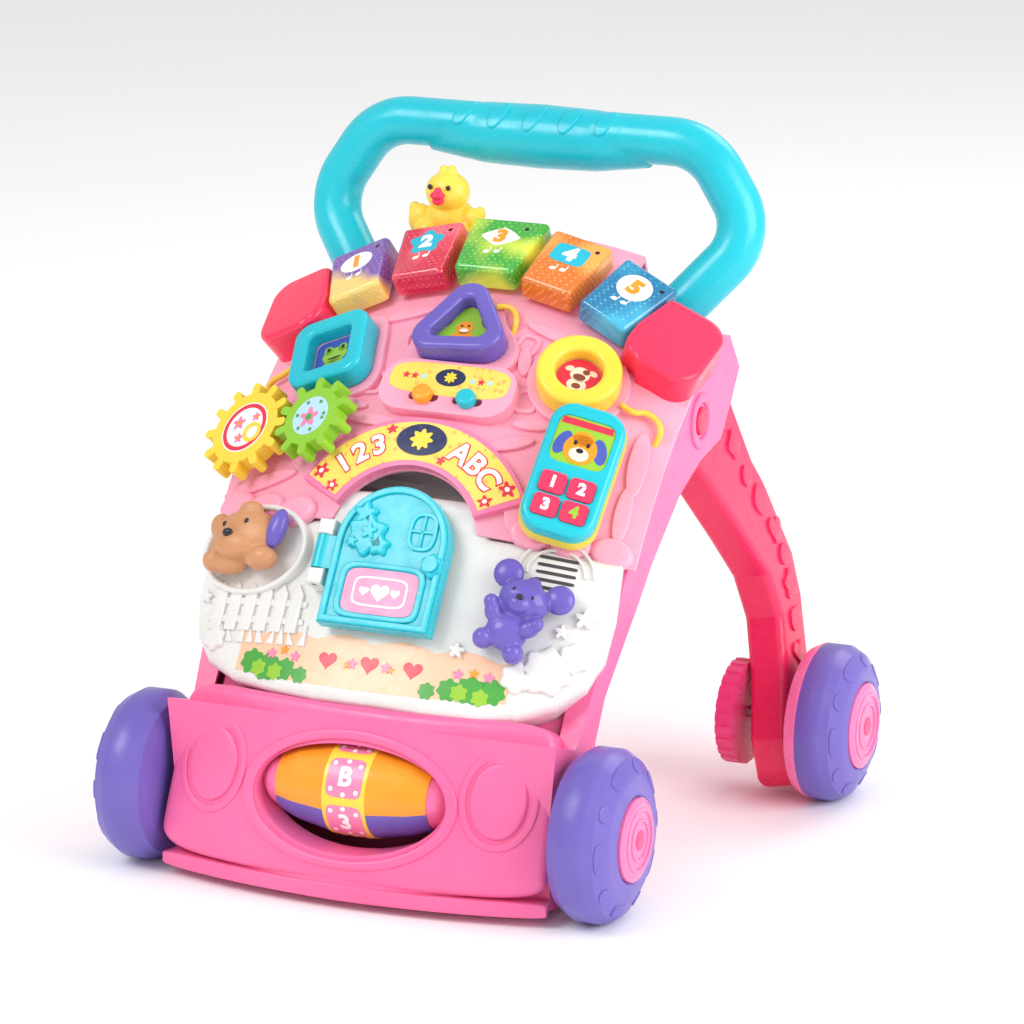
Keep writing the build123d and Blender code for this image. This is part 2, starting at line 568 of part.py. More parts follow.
# ---- lower wall details: door, dog, mouse, speaker --------------------------------------------
PIN_X, PIN_LIFT = -46.0, 12.0
PIN_R = 2.0
DOOR_HALF = 39.0
DOOR_FOOT, DOOR_SPRING_LINE = 21.0, 78.0
door_frame = lower_plane(0, 0)
door_outline = (
    Polyline((-DOOR_HALF + 2, DOOR_SPRING_LINE), (-DOOR_HALF + 2, DOOR_FOOT), (DOOR_HALF + 2, DOOR_FOOT),
             (DOOR_HALF + 2, DOOR_SPRING_LINE))
    + ThreePointArc((DOOR_HALF + 2, DOOR_SPRING_LINE), (2, DOOR_SPRING_LINE + DOOR_HALF),
                    (-DOOR_HALF + 2, DOOR_SPRING_LINE))
)
door = raised(door_frame, make_face(door_outline), 5, 15)
knuckle_plane = Plane(door_frame.from_local_coords(Vector(PIN_X, 0, PIN_LIFT)), x_dir=(1, 0, 0),
                      z_dir=door_frame.y_dir)


def on_pin(radius, u_from, u_to):
    return knuckle_plane * Pos(0, 0, u_from) * Cylinder(
        radius, u_to - u_from, align=(Align.CENTER, Align.CENTER, Align.MIN))


door += raised(door_frame, Pos(PIN_X + 6, 68) * Rectangle(12, 22), 9, 15)
door += on_pin(5, 57, 79)
door -= on_pin(PIN_R + RUNNING_GAP, 0, 120)
door += raised(door_frame, Pos(34, 66) * Circle(5), 14, 21)
save("door", door)
save("door_pin", on_pin(PIN_R, 46, 90))
for u_from, u_to in ((46, 56.7), (79.3, 90)):
    post = on_pin(5, u_from, u_to)
    post += raised(door_frame, Pos(PIN_X, (u_from + u_to) / 2) * Rectangle(10, u_to - u_from), -6, PIN_LIFT)
    white += post - on_pin(PIN_R, 0, 120)
white -= on_pin(PIN_R, 0, 120)

POCKET = lower_plane(-103, 71, 0, 4)
DOG_TRAVEL = 7.0
white += raised(POCKET, Ellipse(43, 31) - Ellipse(39, 27.5), -2, 5)
white -= roof_slab(-WALL - 0.3, 60, 160, ROOF_EAVE - 6, 20)
dog = raised(POCKET, Pos(-5, 0) * Ellipse(31, 24), 1.2, 16)
save("dog", fillet(dog.edges().filter_by(lambda e: POCKET.to_local_coords(e.center()).Z > 15), 6))

MOUSE = lower_plane(90, 46, 0, -18)
MOUSE_TRAVEL = 8.0
mouse_slot = SlotOverall(2 * MOUSE_TRAVEL + 12, 8)
white -= raised(MOUSE, mouse_slot, -8, 4)
mouse = raised(MOUSE, Ellipse(21, 30), 1.2, 16)
mouse += raised(MOUSE, Pos(-18, 20) * Circle(11) + Pos(18, 20) * Circle(11), 3, 11)
mouse += raised(MOUSE, Circle(3.4), -7, 2)
save("mouse", mouse)

SPEAKER = lower_plane(106, 78)
for i in range(5):
    white -= raised(SPEAKER, Pos(0, -14 + 5 * i) * Rectangle(24, 2), -6, 2)
save("speaker", raised(SPEAKER, Circle(16), -15, -6))

save("panel_lower_shell", white)

# ---- telephone ----------------------------------------------------------------------------------
PHONE = roof_plane(101, -9, 0, -2)
PHONE_W, PHONE_L = 50.0, 92.0
PHONE_LOW, PHONE_SEAM, PHONE_TOP = 9.0, 17.0, 28.0
roof += raised(PHONE, RectangleRounded(34, 70, 12), -8, PHONE_LOW - 1) - under_deck
phone_back = raised(PHONE, RectangleRounded(PHONE_W + 2, PHONE_L + 2, 17), PHONE_LOW, PHONE_SEAM)
phone_back -= raised(PHONE, RectangleRounded(PHONE_W - 4, PHONE_L - 4, 14), PHONE_LOW + 2.5, 40)
phone_front = raised(PHONE, RectangleRounded(PHONE_W, PHONE_L, 16), PHONE_SEAM, PHONE_TOP)
phone_rims = phone_front.edges().filter_by(lambda e: PHONE.to_local_coords(e.center()).Z > PHONE_TOP - 1)
phone_front = fillet(phone_rims, 4)
phone_front -= raised(PHONE, RectangleRounded(PHONE_W - 5, PHONE_L - 5, 13), 0, PHONE_TOP - 3)
phone_front -= raised(PHONE, Pos(0, 19) * RectangleRounded(38, 34, 7), PHONE_TOP - 1, PHONE_TOP + 1)
PHONE_KEY_TRAVEL = 1.2
for i in range(4):
    spot = Pos(-9.5 + 19 * (i % 2), -13.5 - 16.5 * (i // 2))
    phone_front -= raised(PHONE, spot * RectangleRounded(17.6, 15.1, 3.3), 20, 40)
    phone_key = raised(PHONE, spot * RectangleRounded(17, 14.5, 3), PHONE_TOP - 6, PHONE_TOP + 1.6)
    save(f"phone_key_{i + 1}", phone_key)
save("phone_back", phone_back)
save("phone_front", phone_front)
save("panel_roof", roof)

# ---- back shell of the panel and what is inside --------------------------------------------------
BACK_HALF = 126.0
BACK_DEPTH = 9.0
BACK_START = FRONT_EDGE + WALL + 0.4


def back_profile(low, high, start, deck_end):
    """Side outline between two heights above the deck."""
    closing = Line(roof_point(deck_end, DECK_R + low), roof_point(deck_end, DECK_R + high))
    opening = Line(lower_point(start, low - DECK_DEPTH), lower_point(start, high - DECK_DEPTH))
    outline = deck_outline(low, deck_end, start) + closing + deck_outline(high, deck_end, start) + opening
    return Plane.YZ * make_face(outline)


back = extrude(back_profile(SKIRT_GAP, BACK_DEPTH, BACK_START, 30.4), BACK_HALF, both=True)
back_hollow = back_profile(SKIRT_GAP + 2.5, BACK_DEPTH + 5, BACK_START + 2.5, 30.7)
back -= extrude(back_hollow, BACK_HALF - 2.5, both=True)


def deck_plane(x, s, lift=0.0):
    """Plane square to the deck under the roof."""
    angle = radians(ROOF_START) - s / ROOF_R
    normal = Vector(0, -sin(angle), cos(angle))
    spot = Vector(x, ROOF_Y, ROOF_Z) + normal * (DECK_R + lift)
    return Plane(spot, x_dir=(1, 0, 0), z_dir=normal)


BATTERY = deck_plane(0, 90)
back -= raised(BATTERY, RectangleRounded(74, 54, 4), -5, 6)
battery_door = raised(BATTERY, RectangleRounded(73.4, 53.4, 3.7), SKIRT_GAP + 1.4, SKIRT_GAP + 3.4)
save("battery_door", battery_door)
screws = []
for x in (-110, 110):
    for s in (-40, 40, 120):
        spot = deck_plane(x, s)
        hole = raised(spot, Circle(1.6), -3, 14)
        back -= hole
        screws.append(raised(spot, Circle(1.6), 1, 9) + raised(spot, Circle(3.2), SKIRT_GAP + 2.6, SKIRT_GAP + 4.2))
        back -= raised(spot, Circle(3.2), -3, SKIRT_GAP + 4.2)
save("panel_screws", *screws)
save("panel_back", back)
save("circuit_board", raised(deck_plane(0, 60, BACK_DEPTH + 4), Rectangle(130, 70), 0, 1.6))
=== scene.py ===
import math

import bmesh
import bpy
from mathutils import Matrix, Vector


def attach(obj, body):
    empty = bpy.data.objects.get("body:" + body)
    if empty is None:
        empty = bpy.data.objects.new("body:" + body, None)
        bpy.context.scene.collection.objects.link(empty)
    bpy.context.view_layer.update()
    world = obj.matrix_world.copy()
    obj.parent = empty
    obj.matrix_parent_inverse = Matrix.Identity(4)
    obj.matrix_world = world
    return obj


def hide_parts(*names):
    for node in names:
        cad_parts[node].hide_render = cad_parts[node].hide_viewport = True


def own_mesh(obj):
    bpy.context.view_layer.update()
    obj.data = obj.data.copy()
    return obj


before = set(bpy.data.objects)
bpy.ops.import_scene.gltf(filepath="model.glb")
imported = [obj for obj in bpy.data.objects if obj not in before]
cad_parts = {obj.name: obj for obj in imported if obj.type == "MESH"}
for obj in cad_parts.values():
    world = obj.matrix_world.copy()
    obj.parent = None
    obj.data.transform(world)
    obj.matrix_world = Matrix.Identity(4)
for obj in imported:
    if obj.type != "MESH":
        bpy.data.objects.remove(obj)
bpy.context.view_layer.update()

# ---- Room ------------------------------------------------------------------
# A plain pale studio floor that runs out of sight, lit by one broad soft lamp
# from the front left, a weaker one from the right and a bright overhead sky.


def linear(code):
    """An sRGB hex colour as the linear values that a shader works in."""
    parts = [int(code[i:i + 2], 16) / 255 for i in (0, 2, 4)]
    return [p / 12.92 if p <= 0.04045 else ((p + 0.055) / 1.055) ** 2.4 for p in parts] + [1.0]


def add_node(material, kind, values=None, **settings):
    """Adds a node: settings are its properties, values go to its sockets, and an output there is linked."""
    made = material.node_tree.nodes.new("ShaderNode" + kind)
    for name, value in settings.items():
        setattr(made, name, value)
    for socket, value in (values or {}).items():
        if isinstance(value, bpy.types.NodeSocket):
            material.node_tree.links.new(value, made.inputs[socket])
        else:
            made.inputs[socket].default_value = value
    return made


def new_material(name):
    """An empty finish: the material, its shader and the object coordinates that its patterns read."""
    material = bpy.data.materials.new(name)
    material.use_nodes = True
    place = add_node(material, "TexCoord").outputs["Object"]
    return material, material.node_tree.nodes["Principled BSDF"], place


def feed(material, shader, **outputs):
    """Links pattern outputs to the shader's sockets, whose names have underscores for spaces."""
    for socket, output in outputs.items():
        material.node_tree.links.new(output, shader.inputs[socket.replace("_", " ")])


FLOOR_HALF = 9.0
shape = bmesh.new()
bmesh.ops.create_grid(shape, x_segments=8, y_segments=8, size=FLOOR_HALF)
floor_mesh = bpy.data.meshes.new("studio_floor")
shape.to_mesh(floor_mesh)
shape.free()
studio_floor = bpy.data.objects.new("studio_floor", floor_mesh)
bpy.context.scene.collection.objects.link(studio_floor)
paper, shader, place = new_material("matt_studio_paper")
mottle = add_node(paper, "TexNoise", {"Vector": place, "Scale": 3.0, "Detail": 2.0})
paper_tone = add_node(paper, "Mix", {0: mottle.outputs["Fac"], 6: linear("FCFCFC"), 7: linear("FFFFFF")},
                      data_type="RGBA")
feed(paper, shader, Base_Color=paper_tone.outputs[2])
shader.inputs["Roughness"].default_value = 0.9
shader.inputs["Specular IOR Level"].default_value = 0.1
floor_mesh.materials.append(paper)

sky = bpy.data.worlds.new("soft_sky")
sky.use_nodes = True
sky.node_tree.nodes["Background"].inputs["Color"].default_value = (1.0, 1.0, 1.0, 1.0)
sky.node_tree.nodes["Background"].inputs["Strength"].default_value = 0.72
bpy.context.scene.world = sky
bpy.context.scene.view_settings.view_transform = "Standard"


def soft_lamp(name, spot, size, watts):
    """A square soft box that points at the middle of the toy."""
    lamp = bpy.data.lights.new(name, "AREA")
    lamp.size = size
    lamp.energy = watts
    holder = bpy.data.objects.new(name, lamp)
    bpy.context.scene.collection.objects.link(holder)
    holder.location = spot
    holder.rotation_euler = (Vector((0, 0, 0.2)) - Vector(spot)).to_track_quat("-Z", "Y").to_euler()


soft_lamp("key_soft_box", (-1.1, -1.7, 2.2), 1.2, 30)
soft_lamp("fill_soft_box", (2.4, -0.4, 1.3), 1.8, 44)
soft_lamp("back_soft_box", (0.6, 1.8, 2.0), 1.4, 16)

CAMERA_SPOT = Vector((1.3681, -2.99915, 1.0802))
CAMERA_AIM = Vector((0.017563, 0.033795, 0.208133))
camera_data = bpy.data.cameras.new("camera")
camera_data.lens = 181.58
camera_data.sensor_width = 36.0
camera = bpy.data.objects.new("camera", camera_data)
bpy.context.scene.collection.objects.link(camera)
camera.location = CAMERA_SPOT
camera.rotation_euler = (CAMERA_AIM - CAMERA_SPOT).to_track_quat("-Z", "Y").to_euler()
bpy.context.scene.camera = camera

# ---- Tether cords ----------------------------------------------------------
# Three short PVC cords, 4.2 mm thick, that keep the loose blocks with the
# toy. Each leaves its block's edge, makes a small hump and goes into the roof.
AXLE_TO_MIDDLE = 146.85
ROOF_Y, ROOF_Z = 396.4, -17.8
ROOF_R, CROWN_R = 430.0, 300.0
ROOF_START = math.radians(47.2)
LOWER_CROWN_R = 420.0
LOWER_SLOPE = math.radians(57)
LOWER_Y, LOWER_Z = -3.65, 148.8


def on_roof(x, s, lift=0.0):
    """A point on the bowed roof: millimetres across, up the slope and off the surface, to metres."""
    angle = ROOF_START - s / ROOF_R
    tilt = math.asin(x / CROWN_R)
    reach = ROOF_R - CROWN_R * (1 - math.cos(tilt))
    normal = Vector((math.sin(tilt), -math.sin(angle) * math.cos(tilt), math.cos(angle) * math.cos(tilt)))
    spot = Vector((x, ROOF_Y - AXLE_TO_MIDDLE - reach * math.sin(angle), ROOF_Z + reach * math.cos(angle)))
    return (spot + normal * lift) / 1000


def on_wall(x, u, lift=0.0):
    """A point on the crowned lower wall, in the same three measures."""
    tilt = math.asin(x / LOWER_CROWN_R)
    square_on = Vector((0, -math.sin(LOWER_SLOPE), math.cos(LOWER_SLOPE)))
    uphill = Vector((0, math.cos(LOWER_SLOPE), math.sin(LOWER_SLOPE)))
    normal = Vector((math.sin(tilt), 0, 0)) + square_on * math.cos(tilt)
    drop = LOWER_CROWN_R * (1 - math.cos(tilt))
    spot = Vector((x, LOWER_Y - AXLE_TO_MIDDLE, LOWER_Z)) + uphill * u - square_on * drop
    return (spot + normal * lift) / 1000


def flat_on(surface, x, up, spin=0.0, lift=0.0):
    """A flat plane that touches a surface at one point, as a function from millimetres on it to metres."""
    spot = surface(x, up, lift)
    uphill = (surface(x, up + 0.5) - surface(x, up - 0.5)).normalized()
    normal = (surface(x, up, 10) - surface(x, up)).normalized()
    turn = math.radians(spin)
    right = uphill.cross(normal) * math.cos(turn) + uphill * math.sin(turn)
    ahead = normal.cross(right)
    return lambda a, b, c=0.0: spot + (right * a + ahead * b + normal * c) / 1000


CORD_D = 0.0042
TETHERS = {
    "ring": ([(113.2, 58.5, 6), (121, 54.5, 5), (128, 60, 5), (137, 56.5, 5), (141, 47, 5),
              (139.5, 40, -1.5)], 0.0464),
    "square": ([(-115.2, 60, 6), (-122, 65, 5), (-129, 59, 5), (-137, 57, 5), (-139.5, 47, 5),
                (-136.5, 40, -1.5)], 0.0448),
    "triangle": ([(13.8, 112.2, 6), (20, 115, 5), (27, 111, 5), (31, 102.5, 5), (29.5, 95, -1.5)], 0.0334),
}
cord_pvc, shader, place = new_material("soft_pvc_cord")
rub = add_node(cord_pvc, "TexNoise", {"Vector": place, "Scale": 160.0, "Detail": 3.0})
cord_tone = add_node(cord_pvc, "Mix", {0: rub.outputs["Fac"], 6: linear("F2B82E"), 7: linear("FFD65A")},
                     data_type="RGBA")
cord_bump = add_node(cord_pvc, "Bump", {"Height": rub.outputs["Fac"], "Strength": 0.25, "Distance": 0.0004})
feed(cord_pvc, shader, Base_Color=cord_tone.outputs[2], Normal=cord_bump.outputs["Normal"])
shader.inputs["Roughness"].default_value = 0.42
for block, (points, length) in TETHERS.items():
    line = bpy.data.curves.new(f"tether_cord_{block}", "CURVE")
    line.dimensions = "3D"
    line.bevel_depth = CORD_D / 2
    line.bevel_resolution = 5
    line.use_fill_caps = True
    spline = line.splines.new("NURBS")
    spline.points.add(len(points) - 1)
    for knot, point in zip(spline.points, points):
        knot.co = (*on_roof(*point), 1.0)
    spline.order_u = 3
    spline.use_endpoint_u = True
    spline.resolution_u = 16
    line.materials.append(cord_pvc)
    tether = bpy.data.objects.new(f"tether_cord_{block}", line)
    bpy.context.scene.collection.objects.link(tether)
    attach(tether, "panel")
    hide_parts(f"tether_{block}")

# ---- Chassis ---------------------------------------------------------------
# The pink moulded frame: a bowed base between the front wheels, the sloping
# towers behind it and the tray. Thick-walled satin polypropylene; two shallow
# round swells and a lip round the roller's window stand proud of its front.


def moulded(name, colour, shade, gloss=0.3, grain=0.0012, sink=0.0004):
    """Moulded plastic: slow drifts of tone, a fine skin of that grain in metres, sinks and light scuffs."""
    material, shader, place = new_material(name)
    drift = add_node(material, "TexNoise", {"Vector": place, "Scale": 11.0, "Detail": 3.0})
    spread = add_node(material, "MapRange", {"Value": drift.outputs["Fac"], "From Min": 0.36,
                                             "From Max": 0.64})
    tone = add_node(material, "Mix", {0: spread.outputs["Result"], 6: linear(colour), 7: linear(shade)},
                    data_type="RGBA")
    skin = add_node(material, "TexNoise", {"Vector": place, "Scale": 1 / grain, "Detail": 2.0})
    scuff = add_node(material, "TexNoise", {"Vector": place, "Scale": 85.0, "Detail": 5.0, "Distortion": 1.2})
    wear = add_node(material, "MapRange", {"Value": scuff.outputs["Fac"], "From Min": 0.42, "From Max": 0.72,
                                           "To Min": gloss, "To Max": gloss + 0.14})
    dips = add_node(material, "Bump", {"Height": drift.outputs["Fac"], "Strength": 0.4, "Distance": sink * 3})
    bump = add_node(material, "Bump", {"Height": skin.outputs["Fac"], "Strength": 0.06, "Distance": 0.0003,
                                       "Normal": dips.outputs["Normal"]})
    feed(material, shader, Base_Color=tone.outputs[2], Roughness=wear.outputs["Result"],
         Normal=bump.outputs["Normal"])
    shader.inputs["IOR"].default_value = 1.49
    return material


def dress(names, material):
    """Gives CAD pieces their finish and smooth shading, with sharp creases kept."""
    for name in names:
        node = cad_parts[name]
        node.data.materials.clear()
        node.data.materials.append(material)
        node.data.shade_smooth()
        weld = node.modifiers.new("merged", "WELD")
        weld.merge_threshold = 0.00002
        split = node.modifiers.new("creases", "EDGE_SPLIT")
        split.split_angle = math.radians(32)


def piece(name, shape, material, body, place=None, crease=34):
    """Makes a finished bmesh, in millimetres, a piece on its body; place carries its points to metres."""
    bmesh.ops.remove_doubles(shape, verts=shape.verts[:], dist=0.001)
    bmesh.ops.recalc_face_normals(shape, faces=shape.faces[:])
    for vert in shape.verts:
        vert.co = place(*vert.co) if place else vert.co / 1000
    mesh = bpy.data.meshes.new(name)
    shape.to_mesh(mesh)
    shape.free()
    mesh.materials.append(material)
    mesh.shade_smooth()
    mesh.set_sharp_from_angle(angle=math.radians(crease))
    made = bpy.data.objects.new(name, mesh)
    bpy.context.scene.collection.objects.link(made)
    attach(made, body)
    return made


def thicken(shape, low, high, soften=0.0, step=8.0):
    """Raises flat faces from low to high, softens the rim, then cuts the whole fine enough to bend."""
    bmesh.ops.remove_doubles(shape, verts=shape.verts[:], dist=0.001)
    for vert in shape.verts:
        vert.co.z = low
    raised = bmesh.ops.extrude_face_region(shape, geom=shape.faces[:])["geom"]
    for part in raised:
        if isinstance(part, bmesh.types.BMVert):
            part.co.z = high
    bmesh.ops.recalc_face_normals(shape, faces=shape.faces[:])
    if soften:
        rims = [edge for edge in shape.edges if len(edge.link_faces) == 2
                and min(vert.co.z for vert in edge.verts) > high - 0.001
                and min(abs(face.normal.z) for face in edge.link_faces) < 0.5]
        bmesh.ops.bevel(shape, geom=rims, offset=soften, segments=4, profile=0.5, affect="EDGES",
                        clamp_overlap=True, material=-1)
    bmesh.ops.triangulate(shape, faces=shape.faces[:])
    for axis in (0, 1):
        spots = [vert.co[axis] for vert in shape.verts]
        for k in range(math.ceil(min(spots) / step), math.ceil(max(spots) / step)):
            square = (1, 0, 0) if axis == 0 else (0, 1, 0)
            bmesh.ops.bisect_plane(shape, geom=shape.verts[:] + shape.edges[:] + shape.faces[:], dist=0.0005,
                                   plane_co=[k * step * side for side in square], plane_no=square)


def laid(name, outlines, place, material, body, low=0.0, high=0.5, soften=0.15, step=8.0):
    """Film cut to outlines, or a shape moulded proud, on the surface that place describes."""
    shape = bmesh.new()
    for outline in outlines:
        shape.faces.new([shape.verts.new((a, b, 0)) for a, b in outline])
    thicken(shape, low, high, soften, step)
    return piece(name, shape, material, body, place)


def oval(a, b, half_a, half_b, spin=0.0, square=2.0, steps=32):
    """An oval outline, or with square above 2 a rounded rectangle."""
    turn = math.radians(spin)
    line = []
    for k in range(steps):
        t = 2 * math.pi * (k + 0.5) / steps
        x = half_a * math.copysign(abs(math.cos(t)) ** (2 / square), math.cos(t))
        y = half_b * math.copysign(abs(math.sin(t)) ** (2 / square), math.sin(t))
        line.append((a + x * math.cos(turn) - y * math.sin(turn),
                     b + x * math.sin(turn) + y * math.cos(turn)))
    return line


def band(outer, inner):
    """The quads between two outlines of as many points."""
    count = len(outer)
    return [[outer[k], outer[(k + 1) % count], inner[(k + 1) % count], inner[k]] for k in range(count)]


BOW_R = 486.0
FRONT_Y = -53.8 - AXLE_TO_MIDDLE
SEAM_Z, FRONT_TALL, FRONT_BACK, FRONT_TAPER, FOOT_TUCK = 32, 94, 35, 0.05, 8
FRONT_LEAN = math.atan(FRONT_BACK / FRONT_TALL)
WINDOW_TOP, WINDOW_SIDE = 106, 80


def on_base(x, z, lift=0.0):
    """A point on the gently bowed, back-leaning front of the base, which narrows upwards.

    Behind the front, walls round the roller's window run level, so the barrel turns clear of them."""
    rise = (z - SEAM_Z) / FRONT_TALL
    across = x * (1 - FRONT_TAPER * rise)
    turn = math.asin(across / BOW_R)
    back = FRONT_BACK * rise if rise > 0 else -FOOT_TUCK * rise
    spot = Vector((across, FRONT_Y + back + BOW_R * (1 - math.cos(turn)), z))
    lean = FRONT_LEAN
    if lift < 0:
        lean *= min(1.0, max(0.0, (z - WINDOW_TOP) / 18))
        turn *= min(1.0, max(0.0, (abs(x) - WINDOW_SIDE) / 40))
    square_on = Vector((math.sin(turn), -math.cos(turn) * math.cos(lean), math.sin(lean)))
    return (spot + square_on * lift) / 1000


chassis_pink = moulded("satin_polypropylene_pink", "F571A6", "F2689F")
dress(["chassis_front", "chassis_back", "base_tray"], chassis_pink)
laid("base_face", band(oval(0, 72, 138, 54.5, 0, 9.0, 96), oval(0, 70, 67.8, 35.2, 0, 2.0, 96)), on_base,
     chassis_pink, "chassis", -26, 0, 6.0, step=12)
laid("base_apron", [oval(0, -7, 131, 27, 0, 7.0, 64)], on_wall, chassis_pink, "chassis", -37, -25, 5.0,
     step=12)


def on_foot(x, z, lift=0.0):
    """A point on the upright foot of the base, under the seam."""
    turn = math.asin(x / BOW_R)
    reach = BOW_R + lift
    return Vector((reach * math.sin(turn), FRONT_Y + 1.4 + BOW_R - reach * math.cos(turn), z)) / 1000


laid("base_foot_band", [oval(0, 11.6, 136.5, 5.2, 0, 9.0, 64)], on_foot, chassis_pink, "chassis", -24, 0, 1.4,
     step=12)
laid("base_swells", [oval(side * 103, 78, 19, 23) for side in (-1, 1)], on_base, chassis_pink, "chassis",
     -1.5, 2.6, 2.4)
laid("base_swell_rings", sum((band(oval(side * 103, 78, 26, 30),
                                   oval(side * 103, 78, 21.5, 25.5)) for side in (-1, 1)), []), on_base,
     chassis_pink, "chassis", -1.5, 1.2, 1.0)
laid("roller_window_lip", band(oval(0, 70, 77, 42, steps=64), oval(0, 70, 69, 36, steps=64)), on_base,
     chassis_pink, "chassis", -1.5, 1.8, 1.6)
steel = moulded("drawn_steel_wire", "B9BCC0", "A9ACB2", 0.25)
steel.node_tree.nodes["Principled BSDF"].inputs["Metallic"].default_value = 1.0
dress(["stub_axles", "roller_axle", "door_pin", "panel_screws"], steel)

# ---- Handle ----------------------------------------------------------------
# One blow-moulded turquoise tube bent to a hoop, swollen at the grip, where
# slanted ovals and small round pips stand proud for small hands.
GRIP_Y, GRIP_Z = 270 - AXLE_TO_MIDDLE, 444.8
TUBE_R, GRIP_SWELL, GRIP_HALF, GRIP_BOW = 16.3, 5.2, 84, 4.6
cyan = moulded("glossy_polyethylene_turquoise", "19C2D2", "12B8CA", 0.22)
dress(["handle"], cyan)


def on_grip(x, up, lift=0.0):
    """A point on the grip: across, and round its front from the height of its middle."""
    swell = max(0.0, 1 - (abs(x) / GRIP_HALF) ** 2)
    radius = TUBE_R + GRIP_SWELL * swell + lift
    angle = up / 20
    mid_z = GRIP_Z + GRIP_BOW * min(1.0, (abs(x) / 100) ** 2)
    return Vector((x, GRIP_Y - radius * math.cos(angle), mid_z + radius * math.sin(angle))) / 1000


laid("grip_ovals", [oval(x, 17, 5.5, 11.5, -22) for x in (-52, -26, 0, 26, 52)]
     + [oval(side * x, 16, 5, 5.5) for side in (-1, 1) for x in (72, 88)], on_grip, cyan, "chassis", -1.2,
     0.9, 0.8, step=4.0)

# ---- Wheels ----------------------------------------------------------------
# Hollow blow-moulded wheels of violet polyethylene, with softly raised
# pads round the outer shoulder, and pressed-in pink caps with stepped rings.
wheel_violet = moulded("polyethylene_violet", "7364BB", "6A5BB2", 0.28)
cap_pink = moulded("glossy_abs_pink", "F77FB2", "F476AA", 0.22)
leg_red = moulded("glossy_abs_hot_pink", "EE2F62", "E82A5B", 0.22)
rose = moulded("glossy_abs_rose", "E8427F", "E23B78", 0.26)
# Middle across, radius, axle's y and z, cap radius, and the cap's face from the middle.
WHEELS = {"front": (159.7, 56.0, -146.85, 56.0, 27.0, 26.3), "rear": (203.2, 53.2, 149.65, 53.2, 29.0, 25.6)}
PADS, SHOULDER, SHOULDER_X = 10, 0.82, 18
for end, (mid_x, wheel_r, axle_y, axle_z, hub_r, reach) in WHEELS.items():
    for side, hand in (("left", -1), ("right", 1)):
        mid_r = SHOULDER * wheel_r
        slant = Vector((6, 0.2 * wheel_r)).normalized()

        def on_wheel(arc, out, lift):
            """A point on the wheel's outer shoulder."""
            radius = mid_r + out * slant.y + lift * slant.x
            x = mid_x + SHOULDER_X - out * slant.x + lift * slant.y
            turn = arc / mid_r
            return Vector((hand * x, axle_y + hand * radius * math.sin(turn),
                           axle_z + radius * math.cos(turn))) / 1000

        def on_cap(a, b, lift):
            """A point on the hub cap's flat face."""
            return Vector((hand * (mid_x + reach + lift), axle_y + hand * a, axle_z + b)) / 1000

        pads = []
        for k in range(PADS):
            arc = (k + 0.5) * 2 * math.pi * mid_r / PADS
            pads.append(oval(arc, 0, 9.5 if k % 2 else 6.0, 5.0, 0, 3.0 if k % 2 else 2.0))
        laid(f"{end}_wheel_pads_{side}", pads, on_wheel, wheel_violet, f"{end}_wheel_{side}", -0.8, 0.9, 0.8,
             step=4)
        if end == "rear":
            tread = bmesh.new()
            profile = [(-19.4, 0.745), (-16.6, 0.885), (-15.2, 0.935), (-8.5, 1.0), (-7.0, 1.0), (-6.6, 0.98)]
            line = [tread.verts.new((hand * (mid_x + dx - 0.5), axle_y, axle_z + wheel_r * share))
                    for dx, share in profile]
            for lower, upper in zip(line, line[1:]):
                tread.edges.new((lower, upper))
            bmesh.ops.spin(tread, geom=tread.verts[:] + tread.edges[:], cent=(0, axle_y, axle_z),
                           axis=(1, 0, 0), angle=2 * math.pi, steps=72, use_merge=True)
            piece(f"rear_tread_{side}", tread, cap_pink, f"rear_wheel_{side}")
        rings = [(hub_r - 6, hub_r - 8.5), (hub_r - 13, hub_r - 15)]
        laid(f"{end}_cap_rings_{side}", sum((band(oval(0, 0, big, big, steps=48),
                                                  oval(0, 0, small, small, steps=48)) for big,
                                             small in rings), []), on_cap, cap_pink, f"{end}_wheel_{side}",
             -0.6, 0.9, 0.6)
        laid(f"{end}_cap_middle_{side}", [oval(0, 0, 6.5, 6.5)], on_cap, rose, f"{end}_wheel_{side}", -0.6,
             0.5, 0.4)
dress([f"{end}_wheel_{side}" for end in WHEELS for side in ("left", "right")], wheel_violet)
dress([f"{end}_hub_{side}" for end in WHEELS for side in ("left", "right")], cap_pink)
dress(["speed_dial_left", "speed_dial_right"], rose)

# ---- Legs ------------------------------------------------------------------
# Two hollow hot pink legs, each two shells on a glued seam, that snap into the
# chassis. Plain bubbles, rings and hearts are moulded proud down the outside.
dress(["leg_outer_shells", "leg_inner_shells"], leg_red)
dress(["leg_lock_button_left", "leg_lock_button_right"], leg_red)
LEG_TOP = Vector((122, 0, 281))
LEG_UP = Vector((-44, 0, 228)).normalized()
LEG_OUT = Vector((228, 0, 44)).normalized()
LEG_HALF = 14
WALL_X = 146.0


def heart(a, b, size, spin=0.0):
    """A heart outline."""
    turn = math.radians(spin)
    line = []
    for k in range(36):
        t = 2 * math.pi * k / 36
        x = size * math.sin(t) ** 3
        y = size * (13 * math.cos(t) - 5 * math.cos(2 * t) - 2 * math.cos(3 * t) - math.cos(4 * t)) / 16
        line.append((a + x * math.cos(turn) - y * math.sin(turn),
                     b + x * math.sin(turn) + y * math.cos(turn)))
    return line


def petals(a, b, size, count=5, depth=0.25, spin=90.0, steps=40):
    """A round outline with lobes, for flowers, stars and suns."""
    line = []
    for k in range(steps):
        t = 2 * math.pi * k / steps
        r = size * (1 - depth + depth * math.cos(count * t))
        line.append((a + r * math.cos(t + math.radians(spin)), b + r * math.sin(t + math.radians(spin))))
    return line


